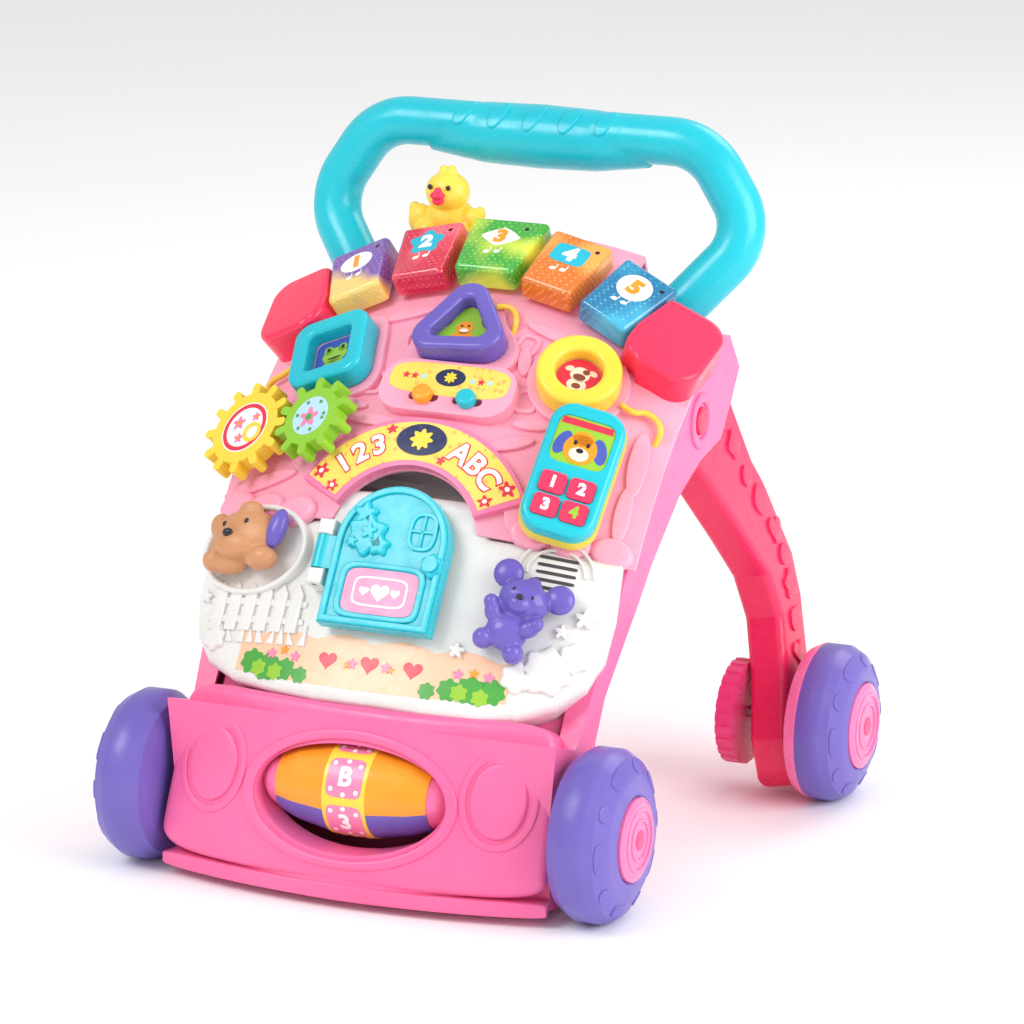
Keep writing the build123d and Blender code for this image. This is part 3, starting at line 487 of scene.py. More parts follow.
def as_packed(x, y, z):
    """The place of a copied CAD mesh, which is in metres and in its place already."""
    return Vector((x, y, z))


for side, hand in (("left", -1), ("right", 1)):
    coil = bmesh.new()
    coil.from_mesh(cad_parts[f"lock_spring_{side}"].data)
    bmesh.ops.remove_doubles(coil, verts=coil.verts[:], dist=0.00001)
    spring = piece(f"lock_coil_{side}", coil, steel, "chassis", as_packed)
    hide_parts(f"lock_spring_{side}")
    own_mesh(spring)

    def on_leg(y, z, lift):
        """A point on the leg's outer face: along the toy, and its height."""
        spot = LEG_TOP + LEG_UP * ((z - LEG_TOP.z) / LEG_UP.z) + LEG_OUT * (LEG_HALF + lift)
        return Vector((hand * spot.x, y - AXLE_TO_MIDDLE, spot.z)) / 1000

    laid(f"leg_bubbles_{side}", [oval(248, 272, 9, 11), petals(262, 246, 10.5, 4, 0.12),
                                 oval(274, 222, 7, 7.5), oval(291, 202, 11, 9.5, -40, 3.0),
                                 heart(306, 179, 10, -10), oval(315, 159, 7.5, 7.5),
                                 petals(317, 138, 11, 5, 0.14), oval(317, 114, 9.5, 8, 0, 3.0),
                                 heart(312, 93, 9), oval(306, 73, 7.5, 8)], on_leg, leg_red, "chassis", -1.5,
         1.6, 1.3)

    def on_side(y, z, lift):
        """A point on the side wall round the lock button."""
        return Vector((hand * (WALL_X + lift), y - AXLE_TO_MIDDLE, z)) / 1000

    laid(f"lock_ring_{side}", band(oval(195, 280, 17, 19), oval(195, 280, 11, 12)), on_side, chassis_pink,
         "chassis", -2.0, 1.8, 1.5)

# ---- Roller ----------------------------------------------------------------
# The barrel in the base: an orange and a violet half, pink cones at its ends
# and a belt of paper labels with a figure or a letter on each.


def label_film(tone, colour, shade):
    """Glossy printed label stock, smoother than the mouldings that it is stuck to."""
    return moulded(f"gloss_label_{tone}", colour, shade, 0.2, 0.0006)


orange = moulded("glossy_abs_orange", "F9A32B", "F59A22", 0.22)
yellow = moulded("glossy_abs_yellow", "FADA4B", "F7D23C", 0.24)
rose_film = label_film("rose", "F58CB4", "F37FAB")
white_film = label_film("white", "FBFAF6", "F5F3EE")
red_film = label_film("red", "E8354F", "E02B46")
BARREL_R = 30
BARREL_Y, BARREL_Z = -14 - AXLE_TO_MIDDLE, 70
LABEL_ARC, BELT_ARC = 31.416, 5.236
dress(["roller_upper"], orange)
dress(["roller_lower"], wheel_violet)
dress(["roller_ends"], cap_pink)


def on_barrel(x, arc, lift):
    """A point on the middle of the barrel: along it, and round it."""
    turn = arc / BARREL_R
    radius = BARREL_R + 0.1 + lift
    return Vector((x, BARREL_Y - radius * math.cos(turn), BARREL_Z + radius * math.sin(turn))) / 1000


def numeral(name, text, size, at, spin, place, material, body, low, high, bold=0.035):
    """Plain figures or letters, cut from film or moulded, centred at a point of the surface."""
    line = bpy.data.curves.new(name, "FONT")
    line.body = text
    line.size = size
    line.offset = bold * size
    line.align_x = "CENTER"
    line.align_y = "CENTER"
    line.resolution_u = 5
    holder = bpy.data.objects.new(f"{name}_outline", line)
    bpy.context.scene.collection.objects.link(holder)
    flat = bpy.data.meshes.new_from_object(holder)
    bpy.data.objects.remove(holder)
    shape = bmesh.new()
    shape.from_mesh(flat)
    bmesh.ops.rotate(shape, verts=shape.verts[:], matrix=Matrix.Rotation(math.radians(spin), 3, "Z"))
    bmesh.ops.translate(shape, verts=shape.verts[:], vec=(*at, 0))
    thicken(shape, low, high, 0.0)
    return piece(name, shape, material, body, place)


def film(name, outlines, place, material, body, low, thick, step=60):
    """Thin film, sharp at its rim, with its back at that height above the surface."""
    return laid(name, outlines, place, material, body, low, low + thick, 0.0, step)


for name, outlines, finish, low, thick in (
        ("roller_belt", [[(-15, k * BELT_ARC), (15, k * BELT_ARC), (15, (k + 1) * BELT_ARC),
                          (-15, (k + 1) * BELT_ARC)] for k in range(36)], yellow, -0.6, 0.85),
        ("roller_labels", [oval(0, (k + 0.5) * LABEL_ARC, 12.5, 13, 0, 6.0) for k in range(6)], rose_film,
         0.2, 0.25),
        ("roller_label_dots", [oval(dx, (k + 0.5) * LABEL_ARC + dy, 1.6, 1.6,
                                    steps=10) for k in range(6) for dx, dy in ((-9, 9), (9, -9), (9, 8),
                                                                               (-9, -8), (0, 11), (0, -11))],
         white_film, 0.4, 0.2)):
    film(name, outlines, on_barrel, finish, "roller", low, thick, 4)
for k, text in enumerate("B1C2A3"):
    numeral(f"roller_mark_{k + 1}", text, 17, (0, (k + 0.5) * LABEL_ARC), 0, on_barrel, white_film, "roller",
            0.4, 0.7)

# ---- Panel roof ------------------------------------------------------------
# The play panel's upper shell: satin pale pink ABS in the likeness of a
# thatched roof, with soft folds, scallops over the eave and raised seats.
roof_pink = moulded("satin_abs_pale_pink", "FBAAC2", "F9A2BC", 0.24)
dress(["panel_roof"], roof_pink)
scallops = [oval(x, -49 - 3 * math.sin(x / 17), 15, 11, 8) for x in (-132, -106, -79)]
scallops += [oval(x, -49, 13, 11, -8) for x in (84, 109, 134)]
laid("eave_scallops", scallops, on_roof, roof_pink, "panel", -1.5, 4.5, 3.6, step=5)
folds = [oval(-118, -30, 30, 5.5, 14), oval(-58, -22, 20, 4.5, 30), oval(-132, 30, 14, 5, 40),
         oval(-40, 16, 26, 4.5, -8), oval(56, 10, 16, 4.5, 24), oval(134, 20, 6, 26, 4),
         oval(70, -38, 5, 13, 12), oval(60, 100, 24, 4.5, -14), oval(-48, 106, 22, 4.5, 16),
         oval(134, -20, 5, 22, 2), oval(-30, 62, 4.5, 14, -6), oval(46, 74, 4.5, 12, 14),
         oval(-66, 30, 16, 4, -12), oval(66, 27, 13, 4, 10)]
laid("thatch_folds", folds, on_roof, roof_pink, "panel", -1.5, 2.8, 2.4, step=5)
frames = []
for x, s, spin in ((-34, 82, 12), (43, 88, -8), (56, 44, 6), (-52, 46, 0)):
    frames += band(oval(x, s, 8, 9.5, spin, 3.2), oval(x, s, 5, 6.4, spin, 3.2))
laid("moulded_windows", frames, on_roof, roof_pink, "panel", -1.5, 2.2, 1.0, step=5)

# ---- Shape blocks ----------------------------------------------------------
# Square, triangle and ring blocks of thick glossy ABS on their studs. Each stud
# carries a round-cornered film label with a simple animal of its own.
violet = moulded("glossy_abs_violet", "6F60BC", "6657B2", 0.22)
blue_film = label_film("blue", "4A5FB8", "4155AE")
green_film = label_film("green", "9ACB3C", "90C233")
leaf_film = label_film("leaf", "4FA845", "469E3D")
amber_film = label_film("amber", "F7A021", "F19617")
dark_film = label_film("dark", "2B2430", "221C28")
cream_film = label_film("cream", "F8E6D0", "F3DEC4")
brown_film = label_film("brown", "8A4B2C", "7F4427")
dress(["block_square"], cyan)
dress(["block_triangle"], violet)
dress(["block_ring"], yellow)
STUD_TOP = 8.0
square_at = flat_on(on_roof, -86, 65, 14)
triangle_at = flat_on(on_roof, 1, 87, 5)
ring_at = flat_on(on_roof, 84, 67)
laid("square_seat", [oval(0, 0, 35, 35, 0, 5.0, 48)], square_at, roof_pink, "panel", -6, 2.2, 1.6, step=30)
laid("ring_seat", [oval(0, 0, 34, 34, 0, 2.0, 48)], ring_at, roof_pink, "panel", -6, 2.2, 1.6, step=30)
laid("triangle_seat", [petals(0, -3, 43, 3, 0.16)], triangle_at, roof_pink, "panel", -6, 2.2, 1.6, step=30)
for name, outlines, finish, low, thick in (
        ("square_label", [oval(0, 0, 15.2, 15.2, 0, 6.0)], blue_film, 0, 0.2),
        ("square_frog", [oval(0, -9, 9, 6.5), oval(0, 1, 9.5, 6.8), oval(-5.5, 6.5, 3.4, 3.4),
                         oval(5.5, 6.5, 3.4, 3.4)], green_film, 0.15, 0.3),
        ("square_frog_face", [oval(-5.5, 7, 1.5, 1.7, steps=14), oval(5.5, 7, 1.5, 1.7, steps=14),
                              oval(0, -1.5, 5.5, 0.8, steps=16)], dark_film, 0.4, 0.2)):
    film(name, outlines, square_at, finish, "panel", STUD_TOP + low, thick, 30)
for name, outlines, finish, low, thick in (
        ("triangle_label", [petals(0, -1, 21, 3, 0.2)], green_film, 0, 0.2),
        ("triangle_duck", [oval(0, -7, 8.5, 5.5), oval(0, 2, 6, 5.6)], amber_film, 0.15, 0.3),
        ("triangle_duck_face", [oval(-2.4, 3.5, 0.9, 1.1, steps=12), oval(2.4, 3.5, 0.9, 1.1, steps=12)],
         dark_film, 0.4, 0.2),
        ("triangle_duck_bill", [oval(0, -0.4, 3, 1.5, steps=16)], white_film, 0.4, 0.25)):
    film(name, outlines, triangle_at, finish, "panel", STUD_TOP + low, thick, 30)
for name, outlines, finish, low, thick in (
        ("ring_label", [oval(0, 0, 14.6, 14.6)], red_film, 0, 0.2),
        ("ring_calf", [oval(0, -6, 6.5, 5), oval(0, 2.5, 6.6, 5.8), oval(-8, 5.5, 3, 2, 20),
                       oval(8, 5.5, 3, 2, -20)], cream_film, 0.15, 0.3),
        ("ring_calf_face", [oval(0, 0.4, 4.2, 2.6), oval(3.4, 5.2, 2.4, 2.0), oval(0, -6.8, 3, 2.2)],
         brown_film, 0.4, 0.2)):
    film(name, outlines, ring_at, finish, "panel", STUD_TOP + low, thick, 30)

# ---- Gears -----------------------------------------------------------------
# Two meshing gears of glossy ABS that spin on the roof's posts, the large one
# with a ringed finger dimple, both with a printed film disc.
green = moulded("glossy_abs_green", "93CE35", "8AC62E", 0.22)
dress(["gear_large"], yellow)
dress(["gear_small"], green)
gears_at = flat_on(on_roof, -98, 5.5, 4)
LARGE_X, SMALL_X, GEAR_TOP = -30.87, 25.725, 20.0
sky_film = label_film("sky", "BFE3F2", "B2DBEE")
for name, outlines, finish, low, thick in (
        ("gear_large_label", [oval(LARGE_X, 0, 19, 19)], white_film, 0, 0.25),
        ("gear_large_arc", band(oval(LARGE_X, 0, 18, 18), oval(LARGE_X, 0, 15, 15)), red_film, 0.2, 0.2),
        ("gear_large_bloom", [petals(LARGE_X - 6, 4, 5.5), petals(LARGE_X - 3, -8, 4),
                              petals(LARGE_X + 8, 7, 3.6)], rose_film, 0.2, 0.25),
        ("gear_large_dots", [oval(LARGE_X - 6, 4, 1.7, 1.7), oval(LARGE_X - 3, -8, 1.3, 1.3),
                             oval(LARGE_X + 8, 7, 1.2, 1.2)], amber_film, 0.4, 0.2)):
    film(name, outlines, gears_at, finish, "gear_large", GEAR_TOP + low, thick, 40)
laid("gear_large_dimple", band(oval(LARGE_X + 8, -5, 7.5, 7.5), oval(LARGE_X + 8, -5, 4.8, 4.8)), gears_at,
     yellow, "gear_large", GEAR_TOP - 0.5, GEAR_TOP + 1.4, 0.9, step=40)
for name, outlines, finish, low, thick in (
        ("gear_small_label", [oval(SMALL_X, 0, 14.5, 14.5)], sky_film, 0, 0.25),
        ("gear_small_bloom", [petals(SMALL_X - 1, -1, 8)], rose_film, 0.2, 0.25),
        ("gear_small_dots", [oval(SMALL_X - 1, -1, 2.6, 2.6)]
         + [oval(SMALL_X + 11.5 * math.cos(t), 11.5 * math.sin(t), 1.3, 1.3, steps=12) for t in range(0, 7)],
         leaf_film, 0.4, 0.2)):
    film(name, outlines, gears_at, finish, "gear_small", GEAR_TOP + low, thick, 40)

# ---- Slider box ------------------------------------------------------------
# A pink box with two knobs in slots. A yellow film with pale blooms fills the
# part above the knobs, with a plain sun on a dark oval.


def floral_film(name, ground, bloom, spacing):
    """Gloss label film printed with rows of small soft blooms that far apart, in metres."""
    material, shader, place = new_material(name)
    cells = add_node(material, "TexVoronoi", {"Vector": place, "Scale": 1 / spacing, "Randomness": 0.55})
    dots = add_node(material, "MapRange", {"Value": cells.outputs["Distance"], "From Min": 0.24,
                                           "From Max": 0.3})
    fade = add_node(material, "TexNoise", {"Vector": place, "Scale": 40.0, "Detail": 2.0})
    paler = add_node(material, "Mix", {0: fade.outputs["Fac"], 6: linear(ground), 7: linear("FBE27A")},
                     data_type="RGBA")
    print_tone = add_node(material, "Mix", {0: dots.outputs["Result"], 6: linear(bloom), 7: paler.outputs[2]},
                          data_type="RGBA")
    feed(material, shader, Base_Color=print_tone.outputs[2])
    shader.inputs["Roughness"].default_value = 0.22
    return material


yellow_floral = floral_film("floral_label_yellow", "F7CF45", "F9B95C", 0.006)
navy_film = label_film("navy", "26315E", "202A54")
dress(["slider_knob_left"], orange)
dress(["slider_knob_right"], cyan)
SLIDER_TOP = 7.0
slider_at = flat_on(on_roof, 5, 41)
for name, outlines, finish, low, thick in (
        ("slider_label", [oval(0, 5.5, 42, 12.5, 0, 3.6, 48)], yellow_floral, 0, 0.25),
        ("slider_badge", [oval(0, 7.5, 10.5, 6.8)], navy_film, 0.2, 0.3),
        ("slider_sun", [petals(0, 7.5, 4.6, 8, 0.18)], yellow, 0.45, 0.25),
        ("slider_blooms", [petals(x, 6.5, 2.6) for x in (-31, -25, 22)], red_film, 0.2, 0.25),
        ("slider_dots", [petals(x, 6.5, 2.4) for x in (-19, 16, 28)], sky_film, 0.2, 0.25)):
    film(name, outlines, slider_at, finish, "panel", SLIDER_TOP + low, thick)

# ---- Arched plaque ---------------------------------------------------------
# The plaque over the door: rose ABS with a printed film along it, plain
# figures and letters, and a sun on an oval in the middle.
arch_pink = moulded("satin_abs_rose", "F683AD", "F37AA6", 0.24)
dress(["arch_plaque"], arch_pink)
ARCH_S, ARCH_R = -72.0, 72


def on_arch(arc, out, lift):
    """A point on the plaque: along its middle line from the top, clockwise, and outwards from it."""
    turn = arc / ARCH_R
    reach = ARCH_R + out
    return on_roof(reach * math.sin(turn), ARCH_S + reach * math.cos(turn), 6.0 + lift)


strip = [[(-74 + 4 * k, -14), (-70 + 4 * k, -14), (-70 + 4 * k, 14), (-74 + 4 * k, 14)] for k in range(37)]
film("arch_label", strip, on_arch, yellow_floral, "panel", -0.4, 0.65)
for name, outlines, finish, low, thick in (
        ("arch_badge", [oval(0, 1, 17, 11.5)], navy_film, 0.15, 0.35),
        ("arch_sun", [petals(0, 1, 8, 8, 0.18)], yellow, 0.45, 0.3),
        ("arch_blooms", [petals(x, y, r) for x, y, r in ((-68, 8, 5.5), (-70, -7, 5), (67, 8, 5.5),
                                                         (69, -8, 5), (-20, 10, 3.5), (20, -10, 3.5))],
         red_film, 0.15, 0.35),
        ("arch_bloom_hearts", [oval(x, y, 1.6, 1.6, steps=12) for x,
                               y in ((-68, 8), (-70, -7), (67, 8), (69, -8))], white_film, 0.4, 0.3)):
    film(name, outlines, on_arch, finish, "panel", low, thick, 8)
for text, arc in (("1", -55), ("2", -42), ("3", -29), ("A", 29), ("B", 42), ("C", 55)):
    numeral(f"arch_back_{text}", text, 20, (arc, 0), 0, on_arch, red_film, "panel", 0.15, 0.4, 0.075)
    numeral(f"arch_mark_{text}", text, 20, (arc, 0), 0, on_arch, white_film, "panel", 0.3, 0.7, 0.03)

# ---- Piano keys ------------------------------------------------------------
# Five clear tinted keys, moulded with a fine diamond prism inside that breaks
# up the lamps' light, each with a film patch, a figure and a small screw. The
# lamps' glow is painted on as warm patches and a faint emission of each key.


def clear_key(name, tint, deep, painted_glow):
    """Tinted clear polystyrene over 3 mm diamond prisms, with painted glow: warmer patches where the lamp
    behind it shines, and a faint emission of that colour.
    """
    material, shader, place = new_material(name)
    turn = add_node(material, "Mapping", {"Vector": place, "Rotation": (0.6, 0.2, 0.785)})
    prisms = add_node(material, "TexVoronoi", {"Vector": turn.outputs["Vector"], "Scale": 330.0,
                                               "Randomness": 0.12}, distance="MANHATTAN")
    facet = add_node(material, "MapRange", {"Value": prisms.outputs["Distance"], "From Min": 0.15,
                                            "From Max": 0.6})
    body = add_node(material, "Mix", {0: facet.outputs["Result"], 6: linear(tint), 7: linear(deep)},
                    data_type="RGBA")
    # Painted glow: noise picks the patches where the glow colour of the lamp behind is mixed in.
    cloud = add_node(material, "TexNoise", {"Vector": place, "Scale": 26.0, "Detail": 1.0})
    painted_glow_mask = add_node(material, "MapRange", {"Value": cloud.outputs["Fac"], "From Min": 0.46, "From Max": 0.66,
                                           "To Max": 0.75})
    lit = add_node(material, "Mix", {0: painted_glow_mask.outputs["Result"], 6: body.outputs[2], 7: linear(painted_glow)},
                   data_type="RGBA")
    bump = add_node(material, "Bump", {"Height": facet.outputs["Result"], "Strength": 0.5,
                                       "Distance": 0.0007})
    feed(material, shader, Base_Color=lit.outputs[2], Normal=bump.outputs["Normal"],
         Emission_Color=lit.outputs[2])
    # Painted glow: the key emits its own tinted light, standing in for the lamp that shines through it.
    shader.inputs["Emission Strength"].default_value = 0.22
    shader.inputs["Roughness"].default_value = 0.14
    shader.inputs["IOR"].default_value = 1.58
    shader.inputs["Coat Weight"].default_value = 0.6
    shader.inputs["Coat Roughness"].default_value = 0.05
    return material


KEY_TOP = 21.0
KEYS = [(-92, 136, 19), (-47.5, 149, 9), (0, 156, 0), (47.5, 149, -9), (92, 136, -19)]
# Each key's tint, its deeper tint and the colour of its painted glow.
key_tints = [("A272C4", "6E4A9C", "FFD84A"), ("F5405A", "C01A3C", "FF6A78"), ("6FD040", "379A2E", "F0F050"),
             ("FF9A38", "CE6A1C", "FFAE50"), ("28A2CC", "0E6E9A", "40B8DA")]
cyan_film = label_film("cyan", "1FBCD6", "18B2CE")
key_patches = [(oval(0, 0, 12, 10), white_film, amber_film),
               (petals(0, 0, 13, 5, 0.14), cyan_film, white_film),
               (oval(0, 0, 14, 9.5, 0, 1.2), white_film, amber_film),
               (oval(0, 0, 12.5, 9, 0, 5.0), cyan_film, white_film),
               (oval(0, 0, 12, 12), white_film, amber_film)]
for number, ((x, s, spin), tints, (patch, patch_film, figure_film)) in enumerate(
        zip(KEYS, key_tints, key_patches), 1):
    key_at = flat_on(on_roof, x, s, spin)
    body = f"piano_key_{number}"
    dress([body], clear_key(f"clear_tinted_key_{number}", *tints))
    film(f"key_patch_{number}", [[(a, b + 7) for a, b in patch]], key_at, patch_film, body, KEY_TOP, 0.2, 40)
    numeral(f"key_figure_{number}", str(number), 17, (0, 7), 0, key_at, figure_film, body, 21.15, 21.45, 0.06)
    film(f"key_notes_{number}", [oval(-4, -9.5, 2.2, 1.6, 20), oval(3, -8.5, 2.2, 1.6, 20),
                                 [(-2.4, -9.5), (-1.8, -9.5), (-1.8, -4.5), (-2.4, -4.5)],
                                 [(4.6, -8.5), (5.2, -8.5), (5.2, -3.5), (4.6, -3.5)]], key_at, white_film,
         body, KEY_TOP, 0.2, 40)
    film(f"key_screw_{number}", [oval(15, 17, 1.7, 1.7, steps=16)], key_at, dark_film, body, KEY_TOP - 0.2,
         0.25, 40)

# ---- End caps --------------------------------------------------------------
# Hot pink covers of glossy ABS at both ends of the row of keys, with round
# corners, screwed on from behind.
red = moulded("glossy_abs_raspberry", "F8365F", "F52F57", 0.2)
dress(["end_caps"], red)

# ---- Figures ---------------------------------------------------------------
# The chick on the ridge, the puppy in its pocket and the mouse on its slide:
# soft-edged solid figures, moulded in one colour each and hand-finished.


def figure(name, balls, place, material, body, grain=0.9):
    """A moulded figure: overlapping balls (middle, half sizes, turn) fused to one skin and relaxed."""
    shape = bmesh.new()
    for middle, halves, spin in balls:
        made = bmesh.ops.create_icosphere(shape, subdivisions=3, radius=1.0)["verts"]
        bmesh.ops.transform(shape, verts=made, matrix=Matrix.Translation(middle)
                            @ Matrix.Rotation(math.radians(spin), 4, "Z") @ Matrix.Diagonal((*halves, 1)))
    made = piece(name, shape, material, body, place)
    skin = made.modifiers.new("one_skin", "REMESH")
    skin.mode = "VOXEL"
    skin.voxel_size = grain / 1000
    skin.use_smooth_shade = True
    relax = made.modifiers.new("relaxed", "SMOOTH")
    relax.factor = 0.5
    relax.iterations = 5
    return made


def studio_spot(x, y, z):
    """Millimetres from the front axle to the toy's own frame, in metres."""
    return Vector((x, y - AXLE_TO_MIDDLE, z)) / 1000


chick_yellow = moulded("glossy_abs_chick_yellow", "FBDD55", "F9D345", 0.28)
CHICK_X = -54
chick = figure("chick_figure", [((CHICK_X, 240, 388), (19, 15, 17), 0),
                                ((CHICK_X, 236, 409), (15.5, 13.5, 14), 0),
                                ((CHICK_X - 19, 234, 389), (9, 7, 11), 0),
                                ((CHICK_X + 19, 234, 389), (9, 7, 11), 0),
                                ((CHICK_X - 13, 230, 382), (9, 8, 9), 0),
                                ((CHICK_X + 13, 230, 382), (9, 8, 9), 0),
                                ((CHICK_X - 24, 235, 396), (4, 4, 5), 0),
                                ((CHICK_X + 24, 235, 396), (4, 4, 5), 0),
                                ((CHICK_X - 3, 236, 423), (3.4, 3.2, 4), 0),
                                ((CHICK_X + 3, 236, 423), (3.6, 3.2, 4.6), 0)], studio_spot, chick_yellow,
               "panel")
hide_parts("chick")
figure("chick_beak", [((CHICK_X - 1, 221, 409), (5.5, 5, 2.6), 0),
                      ((CHICK_X - 1, 222, 405), (4.2, 4, 3.0), 0), ((CHICK_X - 1, 222, 412), (2.4, 3.5, 2.6),
                                                                    0)], studio_spot, red, "panel", 0.7)
figure("chick_eyes", [((CHICK_X - 7.6, 223.6, 414), (1.7, 1.4, 2.0), 0),
                      ((CHICK_X + 5.8, 223.6, 414), (1.7, 1.4, 2.0), 0)], studio_spot, dark_film, "panel",
       0.4)

puppy_brown = moulded("satin_pvc_puppy_brown", "CF9468", "C98C60", 0.34)
pocket_at = flat_on(on_wall, -103, 71, 4)
puppy = figure("puppy_figure", [((-4, 6, 11), (25, 19, 12), 0), ((-6, -2, 18), (15, 10, 9), 0),
                                ((-2, 24, 12), (9, 6, 7), 0), ((-26, 14, 10), (8, 10, 6), 25),
                                ((-24, -10, 12), (9, 8, 9), 0), ((14, -10, 13), (12, 8, 9), 0),
                                ((-14, -12, 10), (14, 7, 8), 0), ((-20, -2, 17), (5, 6, 6), 0)],
               pocket_at, puppy_brown, "dog")
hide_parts("dog")
figure("puppy_ear", [((22, 10, 12), (7, 14, 6), -12)], pocket_at, violet, "dog")
figure("puppy_nose", [((-7, 4, 26), (4, 3, 2.6), 0)], pocket_at, dark_film, "dog", 0.5)
figure("puppy_eyes", [((-15, 12, 20.6), (1.8, 2.2, 1.6), 0), ((3, 13, 21), (1.8, 2.2, 1.6), 0)], pocket_at,
       dark_film, "dog", 0.4)

mouse_at = flat_on(on_wall, 90, 46, -18)
mouse = figure("mouse_figure", [((0, 9, 13), (17, 14, 12), 0), ((0, -13, 11), (14, 13, 10), 0),
                                ((-19, 21, 9), (10, 10, 5), 0), ((19, 21, 9), (10, 10, 5), 0),
                                ((0, 4, 21), (8, 6, 6), 0), ((-13, -6, 16), (6, 8, 6), 30),
                                ((13, -6, 16), (6, 8, 6), -30), ((-11, -24, 11), (7, 7, 8), 0),
                                ((11, -24, 11), (7, 7, 8), 0), ((-17, -2, 19), (4.5, 5, 4.5), 0),
                                ((17, -2, 19), (4.5, 5, 4.5), 0), ((0, 22, 13), (5, 4, 5), 0)],
               mouse_at, violet, "mouse")
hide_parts("mouse")
figure("mouse_eyes", [((-6.5, 11, 22.6), (1.6, 2.0, 1.6), 0), ((6.5, 11, 22.6), (1.6, 2.0, 1.6), 0),
                      ((0, 7.5, 26.4), (2.6, 2.0, 1.8), 0)], mouse_at, dark_film, "mouse", 0.4)

# ---- Lower shell -----------------------------------------------------------
# The white front wall: satin ABS moulded as a garden with a picket fence,
# grass, blooms and bushes, and a long printed film along its foot.
panel_white = moulded("satin_abs_white", "E9E7E4", "E3E0DC", 0.26)
SHELL_EDGE = [(-60, 96), (-144, 95), (-147, 60), (-146, 36), (-139, 12), (-124, -6), (-100, -17), (-70, -22),
              (-35, -25.5), (0, -26.5), (40, -26.5), (76, -25.5), (102, -20), (124, -8), (140, 10), (147, 32),
              (148, 60), (145, 95), (60, 96), (48, 118), (-48, 118)]
wall_shell = laid("garden_wall", [SHELL_EDGE], on_wall, panel_white, "panel", -35, 0.2, 7.0, step=10)
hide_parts("panel_lower_shell")
laid("pocket_rim", band(oval(0, 0, 43, 31, steps=56), oval(0, 0, 38.5, 27, steps=56)), pocket_at, panel_white,
     "panel", -4, 5.4, 2.0, step=60)
door_at = flat_on(on_wall, 0, 0)
laid("hinge_blocks", [[(-51, a), (-40, a), (-40, b), (-51, b)] for a, b in ((46, 56.7), (79.3, 90))], door_at,
     panel_white, "panel", -4, 17, 2.4, step=60)
dress(["battery_door"], panel_white)
back_copy = bmesh.new()
back_copy.from_mesh(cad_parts["panel_back"].data)
bmesh.ops.remove_doubles(back_copy, verts=back_copy.verts[:], dist=0.00002)
for hand in (-1, 1):
    square_on = (on_wall(0, -10) - on_wall(0, 0)).normalized() * 0.8 + Vector((hand * 0.6, 0, 0))
    bmesh.ops.bisect_plane(back_copy, geom=back_copy.verts[:] + back_copy.edges[:] + back_copy.faces[:],
                                 dist=0.00001, plane_co=on_wall(hand * 86, -12, -30), plane_no=square_on,
                                 clear_outer=True)
    bmesh.ops.holes_fill(back_copy, edges=[e for e in back_copy.edges if e.is_boundary], sides=0)
back_shell = piece("back_shell", back_copy, panel_white, "panel", as_packed)
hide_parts("panel_back")
pickets = [[(x - 4.5, 16), (x + 4.5, 16), (x + 4.5, 42), (x, 49), (x - 4.5, 42)]
           for x in (-122, -110, -98, -86, -74, -62)]
laid("fence_pickets", pickets, on_wall, panel_white, "panel", -1.0, 2.6, 0.9, step=6)
laid("fence_rails", [oval(-92, 36, 38, 2.4, 0, 8.0), oval(-92, 24, 38, 2.4, 0, 8.0)], on_wall, panel_white,
     "panel", -1.0, 1.6, 0.6, step=6)
tufts = []
for k in range(16):
    x = -124 + 8 * k
    if abs(x - 2) > 48 and not 52 < x < 130:
        tufts.append([(x - 3, 8), (x + 3, 8), (x + 2.2 - 3 * (k % 3), 19 + 3 * (k % 2))])
laid("grass_tufts", tufts, on_wall, panel_white, "panel", -1.0, 1.8, 0.6, step=6)
bushes = [petals(114, 15, 17, 7, 0.1), petals(129, 27, 11, 6, 0.1), petals(97, 7, 11, 6, 0.1),
          petals(-120, 10, 9, 6, 0.1)]
laid("moulded_bushes", bushes, on_wall, panel_white, "panel", -1.0, 3.4, 2.6, step=6)
laid("moulded_blooms", [petals(130, 53, 7), petals(118, 42, 5), petals(-134, 38, 4.5), petals(56, 18, 5.5)],
     on_wall, panel_white, "panel", -1.0, 3.8, 1.2, step=6)
peach_film = label_film("peach", "FBC9A8", "F9C19D")
cloud_line = [(x, 14 + 4.5 * abs(math.sin(x / 13.5))) for x in range(-98, 96, 4)]
for name, outlines, finish, low, thick in (
        ("foot_label", [[(x, -17 + 0.0007 * x * x) for x in range(94, -99, -4)] + cloud_line], peach_film,
         -0.3, 0.65),
        ("foot_label_bushes", [petals(x, y, r, 7, 0.1) for x, y,
                               r in ((-86, -4, 9), (-74, -7, 10), (-60, -8, 8), (-48, -11, 6), (56, -8, 8),
                                     (70, -6, 10), (84, -5, 9), (42, -11, 6))], leaf_film, 0.3, 0.25),
        ("foot_label_shrubs", [petals(x, y, r, 6, 0.12) for x, y,
                               r in ((-80, -8, 6), (-67, -10, 6), (63, -9, 6), (77, -10, 6))], green_film,
         0.5, 0.25),
        ("foot_label_blooms", [petals(x, y, 3.8) for x, y in ((-72, 2), (-54, 1), (60, 3), (80, 4), (-12, 0),
                                                              (12, 0))], rose_film, 0.7, 0.25),
        ("foot_label_hearts", [heart(x, 1, 6.5) for x in (-30, 0, 30)], red_film, 0.3, 0.3),
        ("foot_label_stars", [petals(x, 5, 3.4, 5, 0.3) for x in (-63, 70)]
         + [petals(x, -1, 3, 5, 0.3) for x in (-15, 15)], amber_film, 0.7, 0.25)):
    film(name, outlines, on_wall, finish, "panel", low, thick, 6)
black = moulded("black_paper_cone", "202022", "18181A", 0.6)
board = moulded("green_circuit_board", "2E7D4A", "276F41", 0.4)
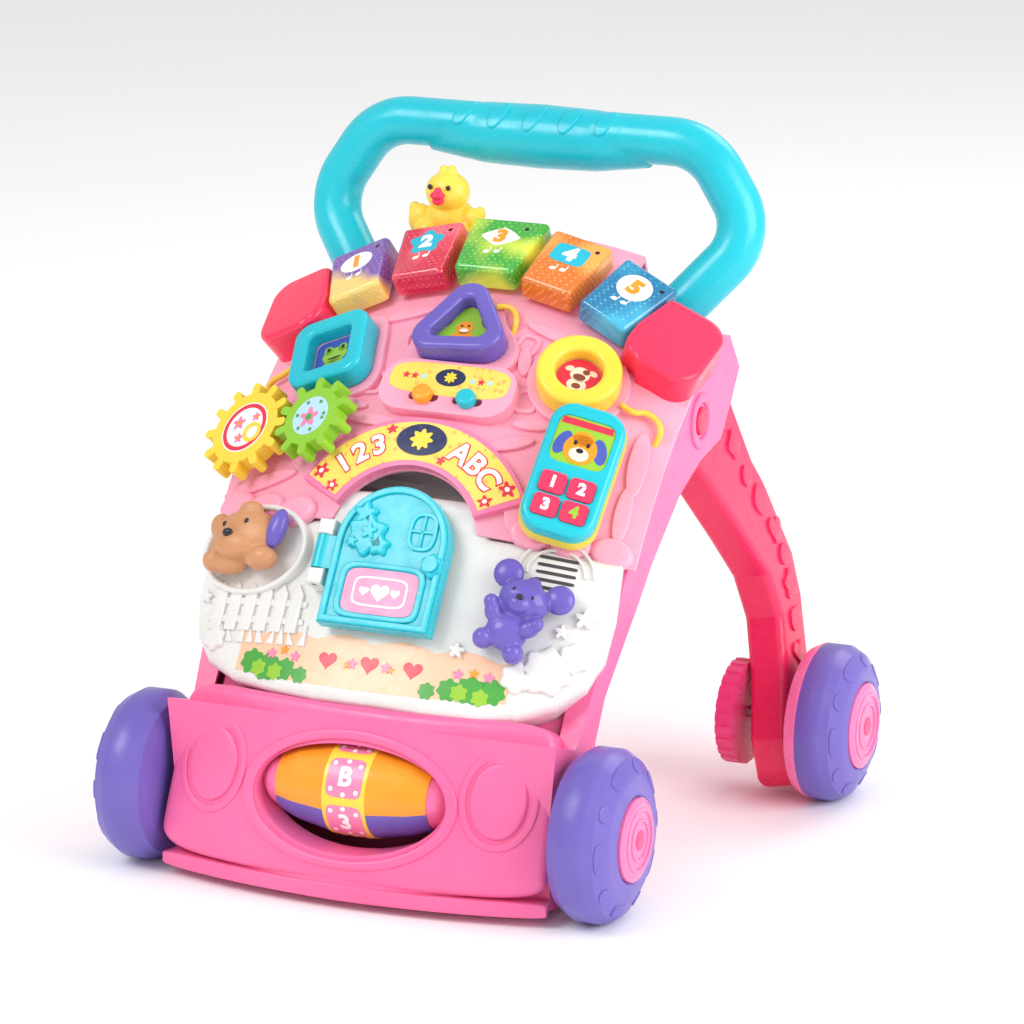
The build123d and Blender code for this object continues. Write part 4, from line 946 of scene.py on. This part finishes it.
dress(["speaker"], black)
dress(["circuit_board"], board)
speaker_at = flat_on(on_wall, 106, 78)
# Painted shade: a dark grey film stands for the shadow inside the speaker's slots.
slot_shade_film = moulded("speaker_slot_shadow", "4A4648", "413D40", 0.7)
film("speaker_slot_shade", [oval(0, -14 + 5 * k, 13, 1.1, 0, 6.0) for k in range(6)], speaker_at, slot_shade_film,
     "panel", -0.5, 0.95, 40)
arcs = []
for big in (26, 20):
    arcs += band(oval(0, 0, big, big * 0.9, steps=40), oval(0, 0, big - 2, big * 0.9 - 2, steps=40))[:20]
laid("speaker_ribs", arcs, speaker_at, panel_white, "panel", -1.0, 1.6, 0.6, step=40)

# ---- Door ------------------------------------------------------------------
# The arched turquoise door on a steel pin, with a moulded frame, a window, a
# bush in relief and a rose film printed with hearts.
DOOR_X, DOOR_FACE = 2, 14.4
dress(["door"], cyan)


def door_arch(shrink):
    """The door's outline, drawn in by that much."""
    half = 39 - shrink
    left, right, spring = DOOR_X - half, DOOR_X + half, 78
    line = [(left, 21 + shrink), (right, 21 + shrink), (right, 50), (right, spring)]
    for t in range(1, 20):
        turn = t * math.pi / 20
        line.append((DOOR_X + half * math.cos(turn), spring + half * math.sin(turn)))
    return line + [(left, spring), (left, 50)]


laid("door_frame", band(door_arch(0.6), door_arch(5.0)), door_at, cyan, "door", DOOR_FACE, DOOR_FACE + 2.6,
     0.8, step=60)
laid("door_panel_frame", band(oval(2, 45, 30, 19, 0, 6.0), oval(2, 45, 26, 15.5, 0, 6.0)), door_at, cyan,
     "door", DOOR_FACE, DOOR_FACE + 2.2, 0.7, step=60)
for name, outlines, finish, low, thick in (
        ("door_label", [oval(2, 45, 25.5, 15, 0, 6.0)], rose_film, 0.2, 0.7),
        ("door_label_edge", band(oval(2, 45, 19, 10, 0, 5.0), oval(2, 45, 17.8, 8.8, 0, 5.0)), white_film,
         0.8, 0.3),
        ("door_label_heart", [heart(2, 45, 6.5), heart(-9, 45, 3.4), heart(13, 45, 3.4)], white_film, 0.8,
         0.4)):
    film(name, outlines, door_at, finish, "door", DOOR_FACE + low, thick)
window_line = band(oval(22, 88, 10, 13, 0, 3.0), oval(22, 88, 7.5, 10.5, 0, 3.0))
laid("door_window", window_line + [oval(22, 88, 0.9, 11, 0, 6.0), oval(22, 88, 8, 0.9, 0, 6.0)], door_at,
     cyan, "door", DOOR_FACE, DOOR_FACE + 2.2, 0.7, step=60)
laid("door_bush", [petals(-16, 82, 15, 6, 0.13), petals(-20, 96, 9, 5, 0.2), petals(-6, 76, 8, 5, 0.15)],
     door_at, cyan, "door", DOOR_FACE, DOOR_FACE + 3.6, 2.2, step=60)
laid("door_blooms", [petals(-14, 84, 6), petals(-24, 76, 4)], door_at, cyan, "door", DOOR_FACE + 3.2,
     DOOR_FACE + 5, 0.8, step=60)
laid("door_knob_rose", [petals(34, 66, 8.5, 6, 0.1)], door_at, cyan, "door", DOOR_FACE, DOOR_FACE + 4.2, 1.8,
     step=60)

# ---- Telephone -------------------------------------------------------------
# The lift-out telephone: turquoise face over a yellow back, a printed screen
# with a puppy's face, and four raspberry buttons with plain figures.
dress(["phone_back"], yellow)
dress(["phone_front"], cyan)
dress([f"phone_key_{i}" for i in range(1, 5)], red)
PHONE_FACE = 26.9
phone_at = flat_on(on_roof, 101, -9, -2)
for name, outlines, finish, low, thick in (
        ("screen_sky", [oval(0, 19, 18.8, 16.8, 0, 6.0)], green_film, 0, 0.3),
        ("screen_bar", [[(-17.4, 29.5), (17.4, 29.5), (16.6, 34.2), (-16.6, 34.2)]], red_film, 0.25, 0.2),
        ("screen_face", [oval(0, 14, 11, 10.5), oval(0, 22, 7, 5)], amber_film, 0.3, 0.3),
        ("screen_ears", [oval(-12.5, 16, 4.5, 9, -18), oval(12.5, 16, 4.5, 9, 18)], blue_film, 0.25, 0.3),
        ("screen_muzzle", [oval(0, 10.5, 6.5, 4.8)], cream_film, 0.55, 0.25),
        ("screen_nose", [oval(0, 13, 2.4, 1.7), oval(-4.2, 18, 1.2, 1.7, steps=14),
                         oval(4.2, 18, 1.2, 1.7, steps=14)], dark_film, 0.75, 0.2)):
    film(name, outlines, phone_at, finish, "phone", PHONE_FACE + low, thick)
for i in range(4):
    spot = (-9.5 + 19 * (i % 2), -13.5 - 16.5 * (i // 2))
    numeral(f"phone_figure_{i + 1}", str(i + 1), 11, spot, 0, phone_at, green_film if i == 3 else white_film,
            f"phone_key_{i + 1}", 29.6, 29.9, 0.05)
